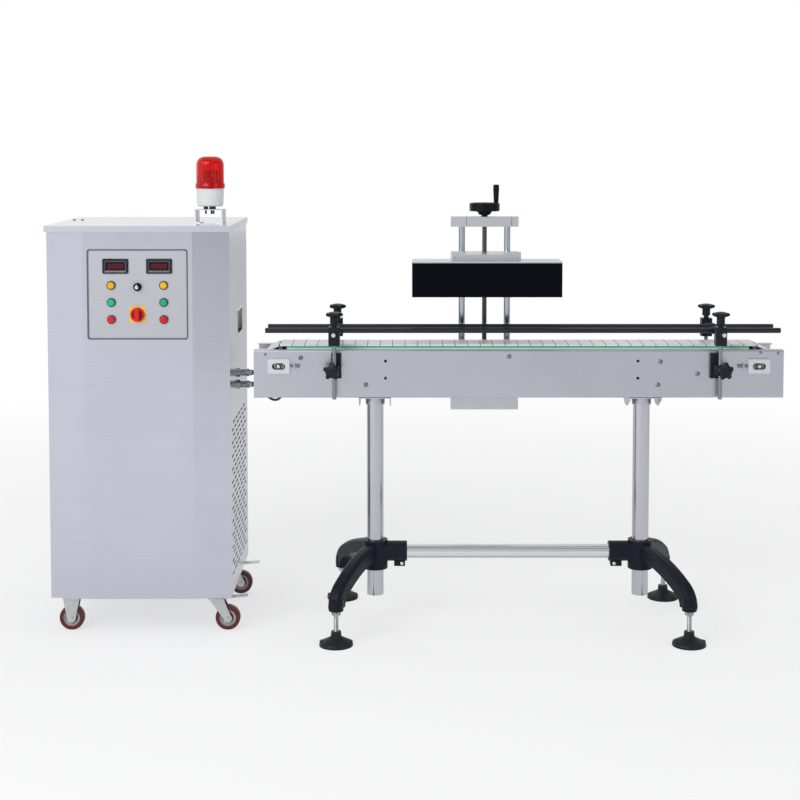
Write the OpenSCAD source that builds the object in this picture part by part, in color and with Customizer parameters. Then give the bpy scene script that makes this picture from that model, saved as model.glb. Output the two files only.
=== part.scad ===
// Induction cap sealer: a power cabinet on casters, linked by hoses to a slat chain conveyor
// that carries bottles between two guide rails and under a height-adjustable sealing head.
// Millimetres, +Z up, floor at Z = 0, front of the machine towards -Y.

/* [Layout] */
// Gap between the cabinet lid and the conveyor's left end
unit_gap = 62; // [40:1:200]
// Distance from the cabinet's front to the conveyor's centre line
cab_lead = 150; // [120:1:220]

/* [Cabinet] */
// Width of the sheet body
cab_w = 544; // [480:1:640]
// Depth of the sheet body
cab_d = 510; // [450:1:600]
// Height of the body's underside above the floor
cab_z = 112; // [105:1:130]
// Height of the body
cab_h = 1122; // [900:1:1300]
// Sheet thickness
sheet_t = 2; // [1.5:0.1:3]
// Width of the flat middle panel of the front
fold_w = 326; // [320:1:380]
// How far the front's side panels fold back at the corners
fold_back = 14; // [6:1:24]
// Depth of the lid's lip
lid_lip = 18; // [12:1:30]
// Gap between the lid's lip and the body
lid_gap = 2; // [1:0.5:4]

/* [Control panel] */
// Margin between the window and the front face's folds
window_margin = 13; // [10:1:18]
// Height of the window in the front
window_h = 270; // [250:1:300]
// Drop of the window's centre below the body's top
window_drop = 202; // [184:1:234]
// Corner radius of the window
window_r = 8; // [4:1:14]
// Width of the rubber trim round the window
trim_w = 4; // [2:0.5:6]
// How far the rubber trim stands proud of the front
trim_proud = 1.5; // [0.5:0.5:3]
// Width of a meter's bezel
meter_w = 76; // [60:1:90]
// Height of a meter's bezel
meter_h = 44; // [36:1:50]
// Spacing of the meters across the panel
meter_gap = 130; // [110:1:150]
// Height of the meters above the panel's centre
meter_z = 84; // [70:1:95]
// Spacing of the lamp and button columns across the panel
column_gap = 156; // [120:1:180]
// Spacing of the lamps and buttons down a column
row_gap = 51; // [36:1:56]
// Diameter of the bore in a lamp or button bezel
bezel_bore = 20; // [16:0.5:24]
// Diameter of a bezel's flange
bezel_d = 27; // [26:0.5:34]
// Travel of a push button
button_travel = 3; // [1:0.5:4]
// Diameter of the power knob
knob_d = 25; // [18:1:32]
// Side of the main switch's square plate
switch_plate_w = 50; // [44:1:60]
// Diameter of the main switch's round handle
switch_d = 42; // [30:1:44]

/* [Cabinet side] */
// Length of a vent slot
slot_len = 50; // [30:1:54]
// Height of a vent slot
slot_h = 6; // [4:0.5:9]
// Spacing of the vent's rows
slot_row = 20; // [14:1:20]
// Spacing of the slots along a row
slot_col = 72; // [64:1:72]
// Rows of slots
slot_rows = 24; // [6:1:24]
// Length of the recessed side handle
handle_l = 150; // [120:1:170]
// Height of the recessed side handle
handle_h = 85; // [70:1:100]
// Depth of the recessed side handle
handle_deep = 25; // [18:1:30]
// Drop of the side handle's centre below the body's top
handle_drop = 314; // [254:1:354]
// Diameter of a coolant hose
hose_d = 14; // [10:1:16]
// Diameter of the motor cable
cable_d = 8; // [6:0.5:10]

/* [Beacon] */
// Diameter of the beacon's dome
dome_d = 84; // [70:1:90]
// Height of the beacon's dome above its flange
dome_h = 97; // [80:1:110]
// Height of the dome's flange
dome_flange = 15; // [10:1:20]
// Wall of the dome
dome_wall = 2.5; // [2:0.5:4]
// Height of the beacon's base
beacon_base_h = 55; // [40:1:70]
// Height of the strap bracket under the beacon
strap_h = 43; // [30:1:60]
// Thickness of the strap
strap_t = 3; // [2:0.5:4]
// Distance of the beacon from the body's right side
beacon_x = 73; // [52:1:120]
// Distance of the beacon from the body's front
beacon_y = 155; // [60:1:300]

/* [Casters] */
// Diameter of a caster wheel
wheel_d = 75; // [70:1:80]
// Width of a caster wheel
wheel_w = 25; // [20:1:30]
// Diameter of a caster axle
axle_d = 10; // [8:1:12]
// Offset of a swivel caster's wheel from its pivot
caster_trail = 35; // [25:1:38]
// Distance of the casters from the body's sides
caster_inset = 52; // [48:1:70]
// Distance of the casters from the body's front and back
caster_inset_y = 65; // [60:1:90]

/* [Slat chain] */
// Height of the carrying surface above the floor
chain_top = 870; // [860:1:900]
// Pitch of the chain
slat_pitch = 38.1; // [37:0.1:39]
// Slats in the chain
slat_count = 84; // [80:2:84]
// Length of a slat across the conveyor
slat_w = 114.3; // [100:0.1:116]
// Thickness of a slat
slat_t = 5; // [4:0.5:6]
// Gap between neighbouring slats
slat_gap = 0.8; // [0.6:0.1:1.5]
// Diameter of a hinge knuckle under a slat
knuckle_d = 12; // [10:0.5:13]
// Length of the middle knuckle
knuckle_l = 42; // [36:1:46]
// Teeth of a sprocket
teeth = 8; // [8:1:8]
// Width of a sprocket
sprocket_w = 34; // [20:1:35]
// Diameter of the drive and idler shafts
shaft_d = 20; // [16:1:24]

/* [Conveyor frame] */
// Length of the side plates
conv_len = 1600; // [1590:1:1700]
// Width of the frame over its side plates
frame_w = 180; // [178:1:200]
// Height of the side plates
plate_h = 145; // [143:1:160]
// Thickness of the side plates
plate_t = 3; // [2:0.5:4]
// Width of the side plates' top flange
top_flange = 50; // [49:1:54]
// Width of the side plates' bottom flange
low_flange = 30; // [20:1:40]
// Height of the wear strips under the slats
strip_h = 8; // [6:0.5:10]
// Width of the wear strips
strip_w = 16; // [10:1:16]
// Length of a take-up block
block_l = 66; // [60:1:72]
// Height of a take-up block
block_h = 43; // [40:1:50]
// Thickness of a take-up block
block_t = 12; // [8:1:16]
// Length of the slot in a take-up block
block_slot = 40; // [30:1:44]
// Spacing of a pair of accessory holes
accessory_gap = 52; // [40:1:60]
// Diameter of an accessory hole
accessory_d = 9; // [6:0.5:11]

/* [Stand] */
// Diameter of the leg tubes
leg_d = 50.8; // [48:0.1:54]
// Wall of the leg tubes and the crossbar
tube_wall = 2; // [1.5:0.1:3]
// Spacing of the legs
leg_span = 820; // [760:1:860]
// Shift of the legs' middle from the conveyor's middle
leg_shift = -25; // [-40:1:0]
// Height of a leg tube's lower end above the floor
leg_z = 85; // [80:1:110]
// Diameter of the crossbar
bar_d = 42.4; // [38:0.1:46]
// Height of the crossbar above the floor
bar_z = 219.5; // [214:0.5:224]
// Outside diameter of a hub's collar
collar_d = 76; // [70:1:84]
// Height of a hub's collar
collar_h = 89; // [84:1:100]
// Height of a collar's lower end above the floor
collar_z = 167; // [160:1:172]
// Outside diameter of a hub's crossbar sleeve
sleeve_d = 62; // [60:1:70]
// Reach of a hub's crossbar sleeve from the leg's axis
sleeve_l = 98; // [80:1:110]
// Reach of a foot from its leg's axis
foot_reach = 264; // [250:1:276]
// Angle between an arm and the conveyor's length
arm_splay = 65; // [55:1:75]
// Width of an arm
arm_w = 40; // [36:1:44]
// Depth of an arm
arm_h = 44; // [38:1:48]
// Height of an arm's end above the floor
arm_end_z = 112; // [108:1:120]
// Diameter of a levelling foot's stem
stem_d = 14; // [12:1:18]
// Diameter of a levelling foot's disc
disc_d = 100; // [90:1:110]
// Spacing of the anchor holes in a foot's disc
anchor_gap = 76; // [72:1:78]
// Diameter of the anchor holes
anchor_d = 9; // [7:0.5:10]

/* [Guide rails] */
// Diameter of the guide rails
rail_d = 16; // [14:1:20]
// Length of the guide rails
rail_len = 1566; // [1400:1:1570]
// Height of the guide rails above the chain
rail_up = 42; // [41:1:48]
// Distance of a guide rail from the conveyor's centre line
rail_y = 50; // [48:1:52]
// Spacing of the rail posts
post_span = 1159; // [1140:1:1170]
// Shift of the posts' middle from the conveyor's middle
post_shift = 24; // [10:1:30]
// Shift of the rails' middle from the conveyor's middle
rail_shift = 15; // [10:1:17]
// Distance of a rail post from the conveyor's centre line
post_y = 115; // [114:1:118]
// Diameter of a rail post
post_d = 12; // [11:1:15]
// Diameter of a rail's cross pin
pin_d = 12; // [10:1:13]
// Width of a post's clamp block
clamp_w = 34; // [32:1:40]
// Height of a post's clamp block
clamp_h = 56; // [52:1:60]
// Diameter of the star knobs
star_d = 54; // [46:1:58]

/* [Sealing head] */
// Shift of the sealing head from the conveyor's middle
head_shift = -94; // [-160:1:-60]
// Length of the sealing head
head_l = 455; // [420:1:480]
// Depth of the sealing head across the conveyor
head_d = 120; // [110:1:130]
// Height of the sealing head
head_h = 108; // [96:1:112]
// Height of the sealing head's underside above the chain
head_up = 144; // [138:1:150]
// Wall of the sealing head
head_wall = 6; // [4:0.5:8]
// Spacing of the guide rods
rod_gap = 142; // [130:1:150]
// Diameter of the guide rods
rod_d = 20; // [16:1:22]
// Diameter of the lead screw
screw_d = 16; // [12:1:18]
// Distance of the guide rods from the conveyor's centre line
rod_y = 121; // [118:1:130]
// Height of the carriage's crossbar and of the top beam
beam_h = 31; // [28:1:36]
// Depth of the carriage's crossbar and of the top beam
beam_d = 40; // [36:1:44]
// Length of the carriage's crossbar and of the top beam
beam_l = 211; // [200:1:220]
// Room above the carriage for lifting the head
lift_room = 79; // [76:1:90]
// Diameter of the handwheel
handwheel_d = 95; // [90:1:110]
// Height of the handwheel's rim
rim_h = 25; // [18:1:28]
// Height of the crank handle
crank_h = 57; // [40:1:65]

/* [Hidden] */
$fn = 48;
// Clearances: a running fit, a fixed fit and the room between pieces that pass each other
run_fit = 0.05;
set_fit = 0.15;
clear = 0.5;
cut = 1;

// Overall layout, centred on the floor under the whole machine
lid_over = sheet_t + lid_gap;
lid_w = cab_w + 2 * lid_over;
foot_x = foot_reach * cos(arm_splay);
foot_y = foot_reach * sin(arm_splay);
total_x = lid_w + unit_gap + conv_len;
conv_x = (total_x - conv_len) / 2;
cab_x = (lid_w - total_x) / 2;
conv_y = (foot_y + disc_d / 2 + cab_lead - cab_d - lid_over) / 2;
cab_y = conv_y - cab_lead + cab_d / 2;

// Cabinet levels
front_y = -cab_d / 2;
cab_top = cab_z + cab_h;
lid_top = cab_top + sheet_t;
window_w = fold_w - 2 * window_margin;
window_z = cab_top - window_drop;
handle_z = cab_top - handle_drop;
base_t = 3;
panel_lap = 10;
panel_y = front_y + sheet_t;
meter_proud = 6;
meter_rim = 4;
bezel_lip = 4;
bezel_deep = 28;
bezel_back = 3;
barrel_d = bezel_bore + 4;
button_proud = 8;
button_deep = 14;
knob_h = 17;
knob_shaft = 6;
knob_z = 22;
switch_z = -60;
switch_t = 1.5;
switch_h = 7;
switch_bar = 15;
switch_shaft = 8;
shaft_tail = 12;
row_top = 27;

// Cabinet side
vent_low = 60;
handle_y = 35;
handle_lip = 6;
handle_wall = 1.5;
fit_len = 46;
cable_fit = 24;
fit_nut = 8;
hose_y = 72;
hose_high = 765;
hose_low = 728;
cable_high = 722;
cable_y = 112;
hose_end = -640;
tab_w = 27;
tab_low = 712;
tab_high = 792;
fittings = [[hose_y, hose_high, hose_d, fit_len], [hose_y, hose_low, hose_d, fit_len],
  [cable_y, cable_high, cable_d, cable_fit]];

// Beacon levels
beacon_turn = -8;
strap_w = dome_d + 2;
strap_d = 44;
strap_foot = 16;
stud_h = 9;
stud_d = 14;
bolt_d = 6;
beacon_z = lid_top + strap_h + stud_h;
dome_z = beacon_z + beacon_base_h;
dome_edge = 26;
spigot_d = 8;
spigot_h = 14;
bulb_d = 15;
bulb_h = 34;
reflector_r = 23;
reflector_t = 1.5;
reflector_h = 46;
reflector_arc = 160;

// Casters
axle_z = wheel_d / 2;
caster_plate_t = 4;
caster_plate_l = 62;
caster_plate_w = 82;
race_d = 40;
race_h = 6;
kingpin_d = 12;
crown_d = 52;
crown_t = 6;
fork_t = 3;
fork_gap = wheel_w / 2 + 2;
fork_eye = 26;
pedal_l = 76;
pedal_w = 26;
pedal_tilt = 6;
caster_x = cab_w / 2 - caster_inset;
caster_y = cab_d / 2 - caster_inset_y;
race_z = cab_z - caster_plate_t - race_h;
crown_z = race_z - clear - crown_t;
kingpin_head = 3;

// Chain geometry: pins lie on a loop of two straight runs and two sprocket wraps
pitch_r = slat_pitch / (2 * sin(180 / teeth));
run_pitches = (slat_count - teeth) / 2;
shaft_x = run_pitches * slat_pitch / 2;
pin_z = chain_top - slat_t - knuckle_d / 2;
shaft_z = pin_z - pitch_r;
ear_l = 13;
hinge_gap = 0.5;
hinge_web = 1.6;
knuckle_fit = 0.4;
sprocket_r = pitch_r * cos(180 / teeth) + knuckle_d / 2 - 1;
hub_d = 44;
hub_l = 60;
stop_d = 32;
stop_t = 8;

// Frame levels
plate_top = chain_top - slat_t - strip_h;
plate_low = plate_top - plate_h;
plate_in = frame_w / 2 - plate_t;
bend_r = 5;
slot_room = 3;
notch_in = 22;
notch_room = 3;
adjuster_d = 8;
adjuster_l = 30;
adjuster_head = 6;
adjuster_head_d = 10;
lug_t = 4;
lug_w = 16;
bolt_shank = 8;
bolt_head_d = 14;
bolt_head_t = 5;
key_d = 6;
key_in = 2.5;
tie_d = 18;
ties = [[-658, 834], [-29, 838], [428, 822], [540, 785]];
stub_bolts = [[-461, 752], [421, 752]];
accessory_z = 798;
accessory_x = [-402, 360];

// Gear motor
gearbox_w = 92;
gearbox_l = 60;
gearbox_stand = 4;
pillar_d = 12;
pillar_x = 40;
pillar_z = 34;
motor_d = 76;
motor_l = 110;
motor_drop = 18;
fan_d = 80;
fan_l = 24;
fin_t = 3;
fin_n = 16;
box_l = 56;
box_h = 30;
box_low = 8 - motor_drop - motor_d / 2 - box_h;
gland_l = 16;

// Stand
leg_at = [leg_shift - leg_span / 2, leg_shift + leg_span / 2];
saddle_w = 97;
saddle_t = 3;
saddle_drop = 32;
saddle_d = frame_w - 4;
socket_wall = 4;
socket_h = 30;
bar_start = leg_d / 2 + 6;
lug_l = 34;
arm_start = 30;
arm_top = 225;
arm_a = 5;
arm_b = 30;
arm_round = 12;
arm_lap = 4;
reach = foot_reach - arm_start;
drop = arm_top - arm_end_z;
ca = sin(arm_b) - sin(arm_a);
cb = 1 - sin(arm_b);
da = cos(arm_a) - cos(arm_b);
db = cos(arm_b);
arm_r2 = (drop * ca - reach * da) / (ca * db - cb * da);
arm_r1 = (reach - cb * arm_r2) / ca;
boss_d = arm_w + 4;
boss_h = 34;
boss_z = arm_end_z - 8;
stem_floor = 22;
stem_in = 22;
nut_w = 24;
nut_h = 13;
disc_edge = 10;
socket_d = 32;
disc_h = 42;
ear_d = 22;

// Guide rails
rail_z = chain_top + rail_up;
post_at = [post_shift - post_span / 2, post_shift + post_span / 2];
clamp_d = 34;
clamp_low = rail_z - 37;
post_top = rail_z - pin_d / 2 - 8;
pin_out = 40;
grip_d = rail_d + 6;
grip_l = 26;
pin_in = rail_y + rail_d / 2 - 5;
star_t = 16;
star_hub_d = 25;
star_hub_h = 20;
star_neck_d = 16;
star_neck_h = 10;
bracket_h = 76;
bracket_w = 30;
bracket_t = 12;
bracket_low = plate_top - 8 - bracket_h;
bracket_off = [5, -12];
knob_turn = [-12, 24];
jaw_h = 30;
jaw_w = 28;
jaw_out = post_d / 2 + 7;
jaw_back = 7;
jaw_z = 800;

// Sealing head
head_z = chain_top + head_up;
head_top = head_z + head_h;
cover_t = 4;
arm_in = head_d / 2 - 50;
arm_t = 18;
clip_w = 42;
clip_d = 16;
clip_h = 26;
slit_w = 2;
slit_in = 12;
beam_z = head_top + arm_t - beam_h;
top_beam_z = beam_z + beam_h + lift_room;
base_h = 44;
base_drop = 67;
base_z = plate_low - base_drop;
base_y = frame_w / 2;
mount_t = 12;
mount_lap = 84;
rod_foot = 8;
top_z = top_beam_z + beam_h;
hub_h = 17;
rim_z = top_z + hub_h;
hub_low_d = 20;
bell_d = 38;
rim_t = 6;
dish = 9;
screw_in = 30;
crank_d = 19;
crank_pin = 8;
crank_r = handwheel_d / 2 - 11;
crank_gap = 1;
crank_turn = -12;
inlet_d = 16;
inlet_l = 14;

// Hose and cable routes, seen from the conveyor's middle
sag = 4;
hose_mid = [[-790, 0], [-745, -sag / 2], [-700, -sag / 2], [-665, 0]];
cable_route = [[-824.3, 112.3, 719.6], [-813.4, 113.5, 713.5], [-803, 116.5, 704.7], [-793.5, 121, 696],
  [-784, 127.5, 686.5], [-775.5, 136, 677], [-767.5, 147, 669], [-759.5, 160, 664], [-751.7, 173, 662.3],
  [-744, 186.5, 665.5], [-738, 196.5, 672], [-733, 205.5, 681.5], [-729, 212.5, 690], [-725.5, 218.3, 701.5]];

steel = "#c3c6cb";
bright = "#e2e4e8";
alloy = "#d5d7da";
black = "#23252b";
rubber = "#2c3036";
polymer = "#e9e6e2";

// Placing helpers
module at_conv() { translate([conv_x, conv_y, 0]) children(); }
module at_cab() { translate([cab_x, cab_y, 0]) children(); }
// A place on the control panel, with local +Z towards the viewer
module on_panel(x, z) {
  translate([cab_x + x, cab_y + panel_y, window_z + z]) rotate([90, 0, 0]) children();
}
module along_x() { rotate([90, 0, 90]) children(); }
module along_y() { rotate([90, 0, 0]) children(); }

// A rectangle with rounded corners, centred
module rounded(w, h, r) {
  square([w - 2 * r, h], center = true);
  square([w, h - 2 * r], center = true);
  for (x = [-1, 1], y = [-1, 1]) translate([x * (w / 2 - r), y * (h / 2 - r)]) circle(r);
}
// A slot with round ends, centred, l long and h high
module obround(l, h) {
  square([l - h, h], center = true);
  for (x = [-1, 1]) translate([x * (l - h) / 2, 0]) circle(h / 2);
}
// A tube or a ring along Z
module pipe(d, bore, h) {
  difference() {
    cylinder(d = d, h = h);
    translate([0, 0, -cut]) cylinder(d = bore, h = h + 2 * cut);
  }
}
// A bent sheet channel: web on the Y side, flanges turned to +X of the outline
module channel(h, top, low, t, r) {
  translate([0, r]) square([t, h - 2 * r]);
  translate([r, h - t]) square([top - r, t]);
  translate([r, 0]) square([low - r, t]);
  for (y = [0, 1]) translate([r, y * (h - 2 * r) + r]) intersection() {
    difference() {
      circle(r);
      circle(r - t);
    }
    translate([-r, (y - 1) * r]) square(r);
  }
}
// A revolved plug with a rounded front edge
module plug(d, h, r) {
  rotate_extrude() dome_form(d / 2, h, r);
}
// A five-pointed clamping knob along Z with its hub and neck below
module star_knob(d, t, hub_d, hub_h, neck_d, neck_h) {
  cylinder(d = neck_d, h = neck_h + cut);
  translate([0, 0, neck_h]) cylinder(d = hub_d, h = hub_h + cut);
  translate([0, 0, neck_h + hub_h]) difference() {
    rotate_extrude() polygon([[0, 0], [hub_d / 2, 0], [d / 2 - 2, 0.25 * t], [d / 2, 0.4 * t], [d / 2, 0.6 * t],
      [d / 2 - 2, 0.75 * t], [0.3 * d, 0.9 * t], [0.18 * d, t], [0, t]]);
    for (i = [0:4]) rotate([0, 0, 36 + 72 * i]) translate([d * 0.6, 0, -cut]) cylinder(d = d * 0.52, h = t + 2 * cut);
  }
}

// Power cabinet
function body_outline(w, d, f, back) = [[-w / 2, d / 2], [-w / 2, back - d / 2], [-f / 2, -d / 2],
  [f / 2, -d / 2], [w / 2, back - d / 2], [w / 2, d / 2]];

module vent_slots() {
  for (row = [0:slot_rows - 1]) {
    count = row % 2 == 0 ? 6 : 5;
    for (i = [0:count - 1])
      translate([cab_w / 2 - 2 * sheet_t, (i - (count - 1) / 2) * slot_col, cab_z + vent_low + row * slot_row])
        along_x() linear_extrude(4 * sheet_t) obround(slot_len, slot_h);
  }
}
module handle_cut(grow) {
  translate([0, handle_y, handle_z]) along_x()
    linear_extrude(cab_w + 2 * cut, center = true)
      rounded(handle_l - 2 * handle_lip + grow, handle_h - 2 * handle_lip + grow, 10);
}
module cabinet_shell() {
  color(steel) at_cab() difference() {
    translate([0, 0, cab_z]) linear_extrude(cab_h) polygon(body_outline(cab_w, cab_d, fold_w, fold_back));
    translate([0, 0, cab_z + base_t]) linear_extrude(cab_h)
      polygon(body_outline(cab_w - 2 * sheet_t, cab_d + 2 * cut, fold_w, fold_back) + [for (i = [0:5]) [0, sheet_t + cut]]);
    translate([0, front_y - cut, window_z]) along_y()
      linear_extrude(4 * cut + 2 * sheet_t, center = true) rounded(window_w, window_h, window_r);
    vent_slots();
    handle_cut(clear);
    for (f = fittings) translate([cab_w / 2 - 2 * sheet_t, conv_y - cab_y + f[0], f[1]])
      rotate([0, 90, 0]) cylinder(d = f[2] + 2 + 2 * set_fit, h = 4 * sheet_t);
  }
}
module cabinet_lid() {
  color(bright) at_cab() difference() {
    translate([-lid_w / 2, front_y - lid_over, lid_top - lid_lip]) cube([lid_w, cab_d + 2 * lid_over, lid_lip]);
    translate([sheet_t - lid_w / 2, front_y - lid_gap, lid_top - lid_lip - cut])
      cube([lid_w - 2 * sheet_t, cab_d + 2 * lid_gap, lid_lip + cut - sheet_t]);
  }
}
module back_panel() {
  w = cab_w - 2 * sheet_t - 2 * set_fit;
  color(steel) at_cab() translate([-w / 2, cab_d / 2 - sheet_t, cab_z + base_t]) {
    cube([w, sheet_t, cab_h - base_t]);
    for (x = [0, w - sheet_t]) translate([x, -20, 0]) cube([sheet_t, 20, cab_h - base_t]);
  }
}
module control_panel() {
  color(steel) difference() {
    on_panel(0, 0) translate([0, 0, -sheet_t]) linear_extrude(sheet_t)
      rounded(window_w + 2 * panel_lap, window_h + 2 * panel_lap, window_r);
    for (x = [-1, 1]) on_panel(x * meter_gap / 2, meter_z) translate([0, 0, -2 * sheet_t])
      linear_extrude(4 * sheet_t) square([meter_w - 2 * meter_rim, meter_h - 2 * meter_rim], center = true);
    panel_places() translate([0, 0, -2 * sheet_t]) cylinder(d = barrel_d + 2 * set_fit, h = 4 * sheet_t);
    on_panel(0, knob_z) translate([0, 0, -2 * sheet_t]) cylinder(d = knob_shaft + 2 * run_fit, h = 4 * sheet_t);
    on_panel(0, switch_z) translate([0, 0, -2 * sheet_t]) cylinder(d = switch_shaft + 2 * run_fit, h = 4 * sheet_t);
  }
}
// Every lamp and button place, left column first
module panel_places(sides = [-1, 1], rows = [0, 1, 2]) {
  for (x = sides, row = rows) on_panel(x * column_gap / 2, row_top - row * row_gap) children();
}
module panel_trim() {
  color(rubber) on_panel(0, 0) linear_extrude(sheet_t + trim_proud) difference() {
    rounded(window_w, window_h, window_r);
    rounded(window_w - 2 * trim_w, window_h - 2 * trim_w, window_r - trim_w / 2);
  }
}
module panel_meters() {
  color(black) for (x = [-1, 1]) on_panel(x * meter_gap / 2, meter_z) difference() {
    union() {
      linear_extrude(meter_proud) rounded(meter_w, meter_h, 3);
      translate([0, 0, -40]) linear_extrude(40 + cut)
        square([meter_w - 2 * meter_rim - clear, meter_h - 2 * meter_rim - clear], center = true);
    }
    translate([0, 0, meter_proud - 2]) linear_extrude(2 + cut) rounded(meter_w - 12, meter_h - 14, 2);
  }
}
module control_bezels() {
  color(bright) panel_places() difference() {
    union() {
      cylinder(d = bezel_d, h = bezel_lip);
      translate([0, 0, -bezel_deep]) cylinder(d = barrel_d, h = bezel_deep + cut);
    }
    translate([0, 0, bezel_back - bezel_deep]) cylinder(d = bezel_bore, h = bezel_deep + bezel_lip);
  }
}
module button_cap() {
  translate([0, 0, bezel_lip - button_deep])
    plug(bezel_bore - 2 * run_fit, button_deep + button_proud, 3);
}
module pilot_lamps() {
  panel_places([-1], [0]) color("orange") button_cap();
  panel_places([-1], [1]) color("limegreen") button_cap();
  panel_places([-1], [2]) color("red") button_cap();
}
module reset_button() { color("gold") panel_places([1], [0]) button_cap(); }
module start_button() { color("green") panel_places([1], [1]) button_cap(); }
module stop_button() { color("crimson") panel_places([1], [2]) button_cap(); }
module power_knob() {
  color(black) on_panel(0, knob_z) {
    translate([0, 0, -shaft_tail]) cylinder(d = knob_shaft, h = shaft_tail + 2);
    translate([0, 0, clear]) {
      cylinder(d = knob_d, h = 4);
      difference() {
        plug(knob_d - 5, knob_h, 2);
        for (i = [0:11]) rotate([0, 0, 30 * i]) translate([knob_d / 2 - 1.5, 0, 5]) cylinder(d = 3, h = knob_h);
      }
    }
  }
}
module switch_plate() {
  color("gold") on_panel(0, switch_z) linear_extrude(switch_t) difference() {
    rounded(switch_plate_w, switch_plate_w, 4);
    circle(d = switch_shaft + 2 * run_fit);
  }
}
module switch_handle() {
  color("crimson") on_panel(0, switch_z) {
    translate([0, 0, -shaft_tail]) cylinder(d = switch_shaft, h = shaft_tail + switch_t + 2);
    translate([0, 0, switch_t + clear]) {
      cylinder(d = switch_d, h = switch_h);
      translate([0, 0, switch_h - cut]) linear_extrude(switch_bar + cut)
        rotate(90) obround(switch_d - 4, 13);
    }
  }
}
module side_handles() {
  cup_l = handle_l - 2 * handle_lip;
  cup_h = handle_h - 2 * handle_lip;
  color(bright) at_cab() for (s = [0, 1]) mirror([s, 0, 0])
    translate([cab_w / 2, handle_y, handle_z]) along_x() difference() {
      union() {
        linear_extrude(handle_wall) rounded(handle_l, handle_h, 14);
        translate([0, 0, -handle_deep]) linear_extrude(handle_deep + cut) rounded(cup_l, cup_h, 10);
      }
      translate([0, 0, handle_wall - handle_deep]) linear_extrude(handle_deep + cut)
        rounded(cup_l - 2 * handle_wall, cup_h - 2 * handle_wall, 9);
    }
}
// A hose coupling through a wall, with local +Z out of the wall
module coupling(d, wall, len) {
  translate([0, 0, -wall - fit_nut]) {
    cylinder(d = d + 12, h = fit_nut, $fn = 6);
    cylinder(d = d + 2, h = wall + fit_nut + cut);
  }
  cylinder(d = d + 14, h = fit_nut, $fn = 6);
  cylinder(d = d + 6, h = len - 16);
  translate([0, 0, len - 16]) cylinder(d = d + 10, h = 6);
  cylinder(d = d + 4, h = len);
}
module hose_fittings() {
  color(bright) {
    for (f = fittings) translate([cab_x + cab_w / 2, conv_y + f[0], f[1]])
      rotate([0, 90, 0]) coupling(f[2], sheet_t, f[3]);
    at_conv() for (z = [hose_high, hose_low])
      translate([hose_end - plate_t / 2, hose_y, z]) rotate([0, -90, 0]) coupling_end();
  }
}
// A hose coupling on the frame's bulkhead tab, short enough to clear the chain
module coupling_end() {
  translate([0, 0, -plate_t - fit_nut]) {
    cylinder(d = hose_d + 8, h = fit_nut, $fn = 6);
    cylinder(d = hose_d + 2, h = plate_t + fit_nut + cut);
  }
  cylinder(d = hose_d + 8, h = fit_nut, $fn = 6);
  cylinder(d = hose_d + 4, h = hose_nose);
}
hose_nose = 20;

// Beacon
module at_beacon(z) {
  translate([cab_x + cab_w / 2 - beacon_x, cab_y + front_y + beacon_y, z]) rotate([0, 0, beacon_turn]) children();
}
// The three places of the beacon's rubber studs
module stud_places() {
  for (i = [0:2]) rotate([0, 0, 90 + 120 * i]) translate([0, strap_d / 2 - stud_d / 2 - 1, 0]) children();
}
module beacon_bracket() {
  color(bright) at_beacon(lid_top) difference() {
    translate([0, strap_d / 2, 0]) along_y() linear_extrude(strap_d) {
      translate([-strap_w / 2, strap_h - strap_t]) square([strap_w, strap_t]);
      for (s = [0, 1]) mirror([s, 0]) {
        translate([-strap_w / 2, 0]) square([strap_t, strap_h]);
        translate([-strap_w / 2, 0]) square([strap_foot, strap_t]);
      }
    }
    stud_places() cylinder(d = bolt_d + 2 * set_fit, h = strap_h + cut);
  }
}
module beacon_base() {
  color(polymer) at_beacon(beacon_z) {
    rotate_extrude() polygon([[0, 0], [dome_d / 2 - 5, 0], [dome_d / 2 - 2, 4], [dome_d / 2, beacon_base_h],
      [0, beacon_base_h]]);
    stud_places() translate([0, 0, -stud_h]) {
      cylinder(d = stud_d, h = stud_h + cut);
      translate([0, 0, -strap_t - 12]) cylinder(d = bolt_d, h = strap_t + 12 + cut);
    }
    translate([0, 0, beacon_base_h - cut]) cylinder(d = spigot_d, h = spigot_h + cut);
    translate([0, 0, beacon_base_h + spigot_h - cut]) plug(bulb_d, bulb_h - spigot_h + cut, bulb_d / 2 - 1);
  }
}
// Half section of a round plug or dome with a rounded upper edge
module dome_form(r, h, edge) {
  square([r - edge, h]);
  square([r, h - edge]);
  translate([r - edge, h - edge]) intersection() {
    circle(edge);
    square(edge);
  }
}
module beacon_dome() {
  r = dome_d / 2;
  color("red") at_beacon(dome_z) rotate_extrude() difference() {
    union() {
      dome_form(r, dome_h, dome_edge);
      square([r + 3, dome_flange]);
    }
    translate([0, -cut]) dome_form(r - dome_wall, dome_h - dome_wall + cut, dome_edge - dome_wall);
  }
}
module beacon_reflector() {
  color(bright) at_beacon(dome_z) {
    translate([0, 0, 2]) pipe(22, spigot_d + 2 * run_fit, 8);
    translate([0, 0, 8]) rotate([0, 0, 10]) rotate_extrude(angle = reflector_arc)
      translate([10, 0]) square([reflector_r - 10, 2]);
    translate([0, 0, 8]) rotate([0, 0, 10]) rotate_extrude(angle = reflector_arc)
      translate([reflector_r - reflector_t, 0]) square([reflector_t, reflector_h]);
  }
}

// Casters
module fork_leg(top_half, top_z, offset) {
  linear_extrude(fork_t) {
    polygon([[-top_half, top_z - axle_z], [top_half, top_z - axle_z], [offset + fork_eye / 2, 0],
      [offset - fork_eye / 2, 0]]);
    translate([offset, 0]) circle(d = fork_eye);
  }
}
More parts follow.
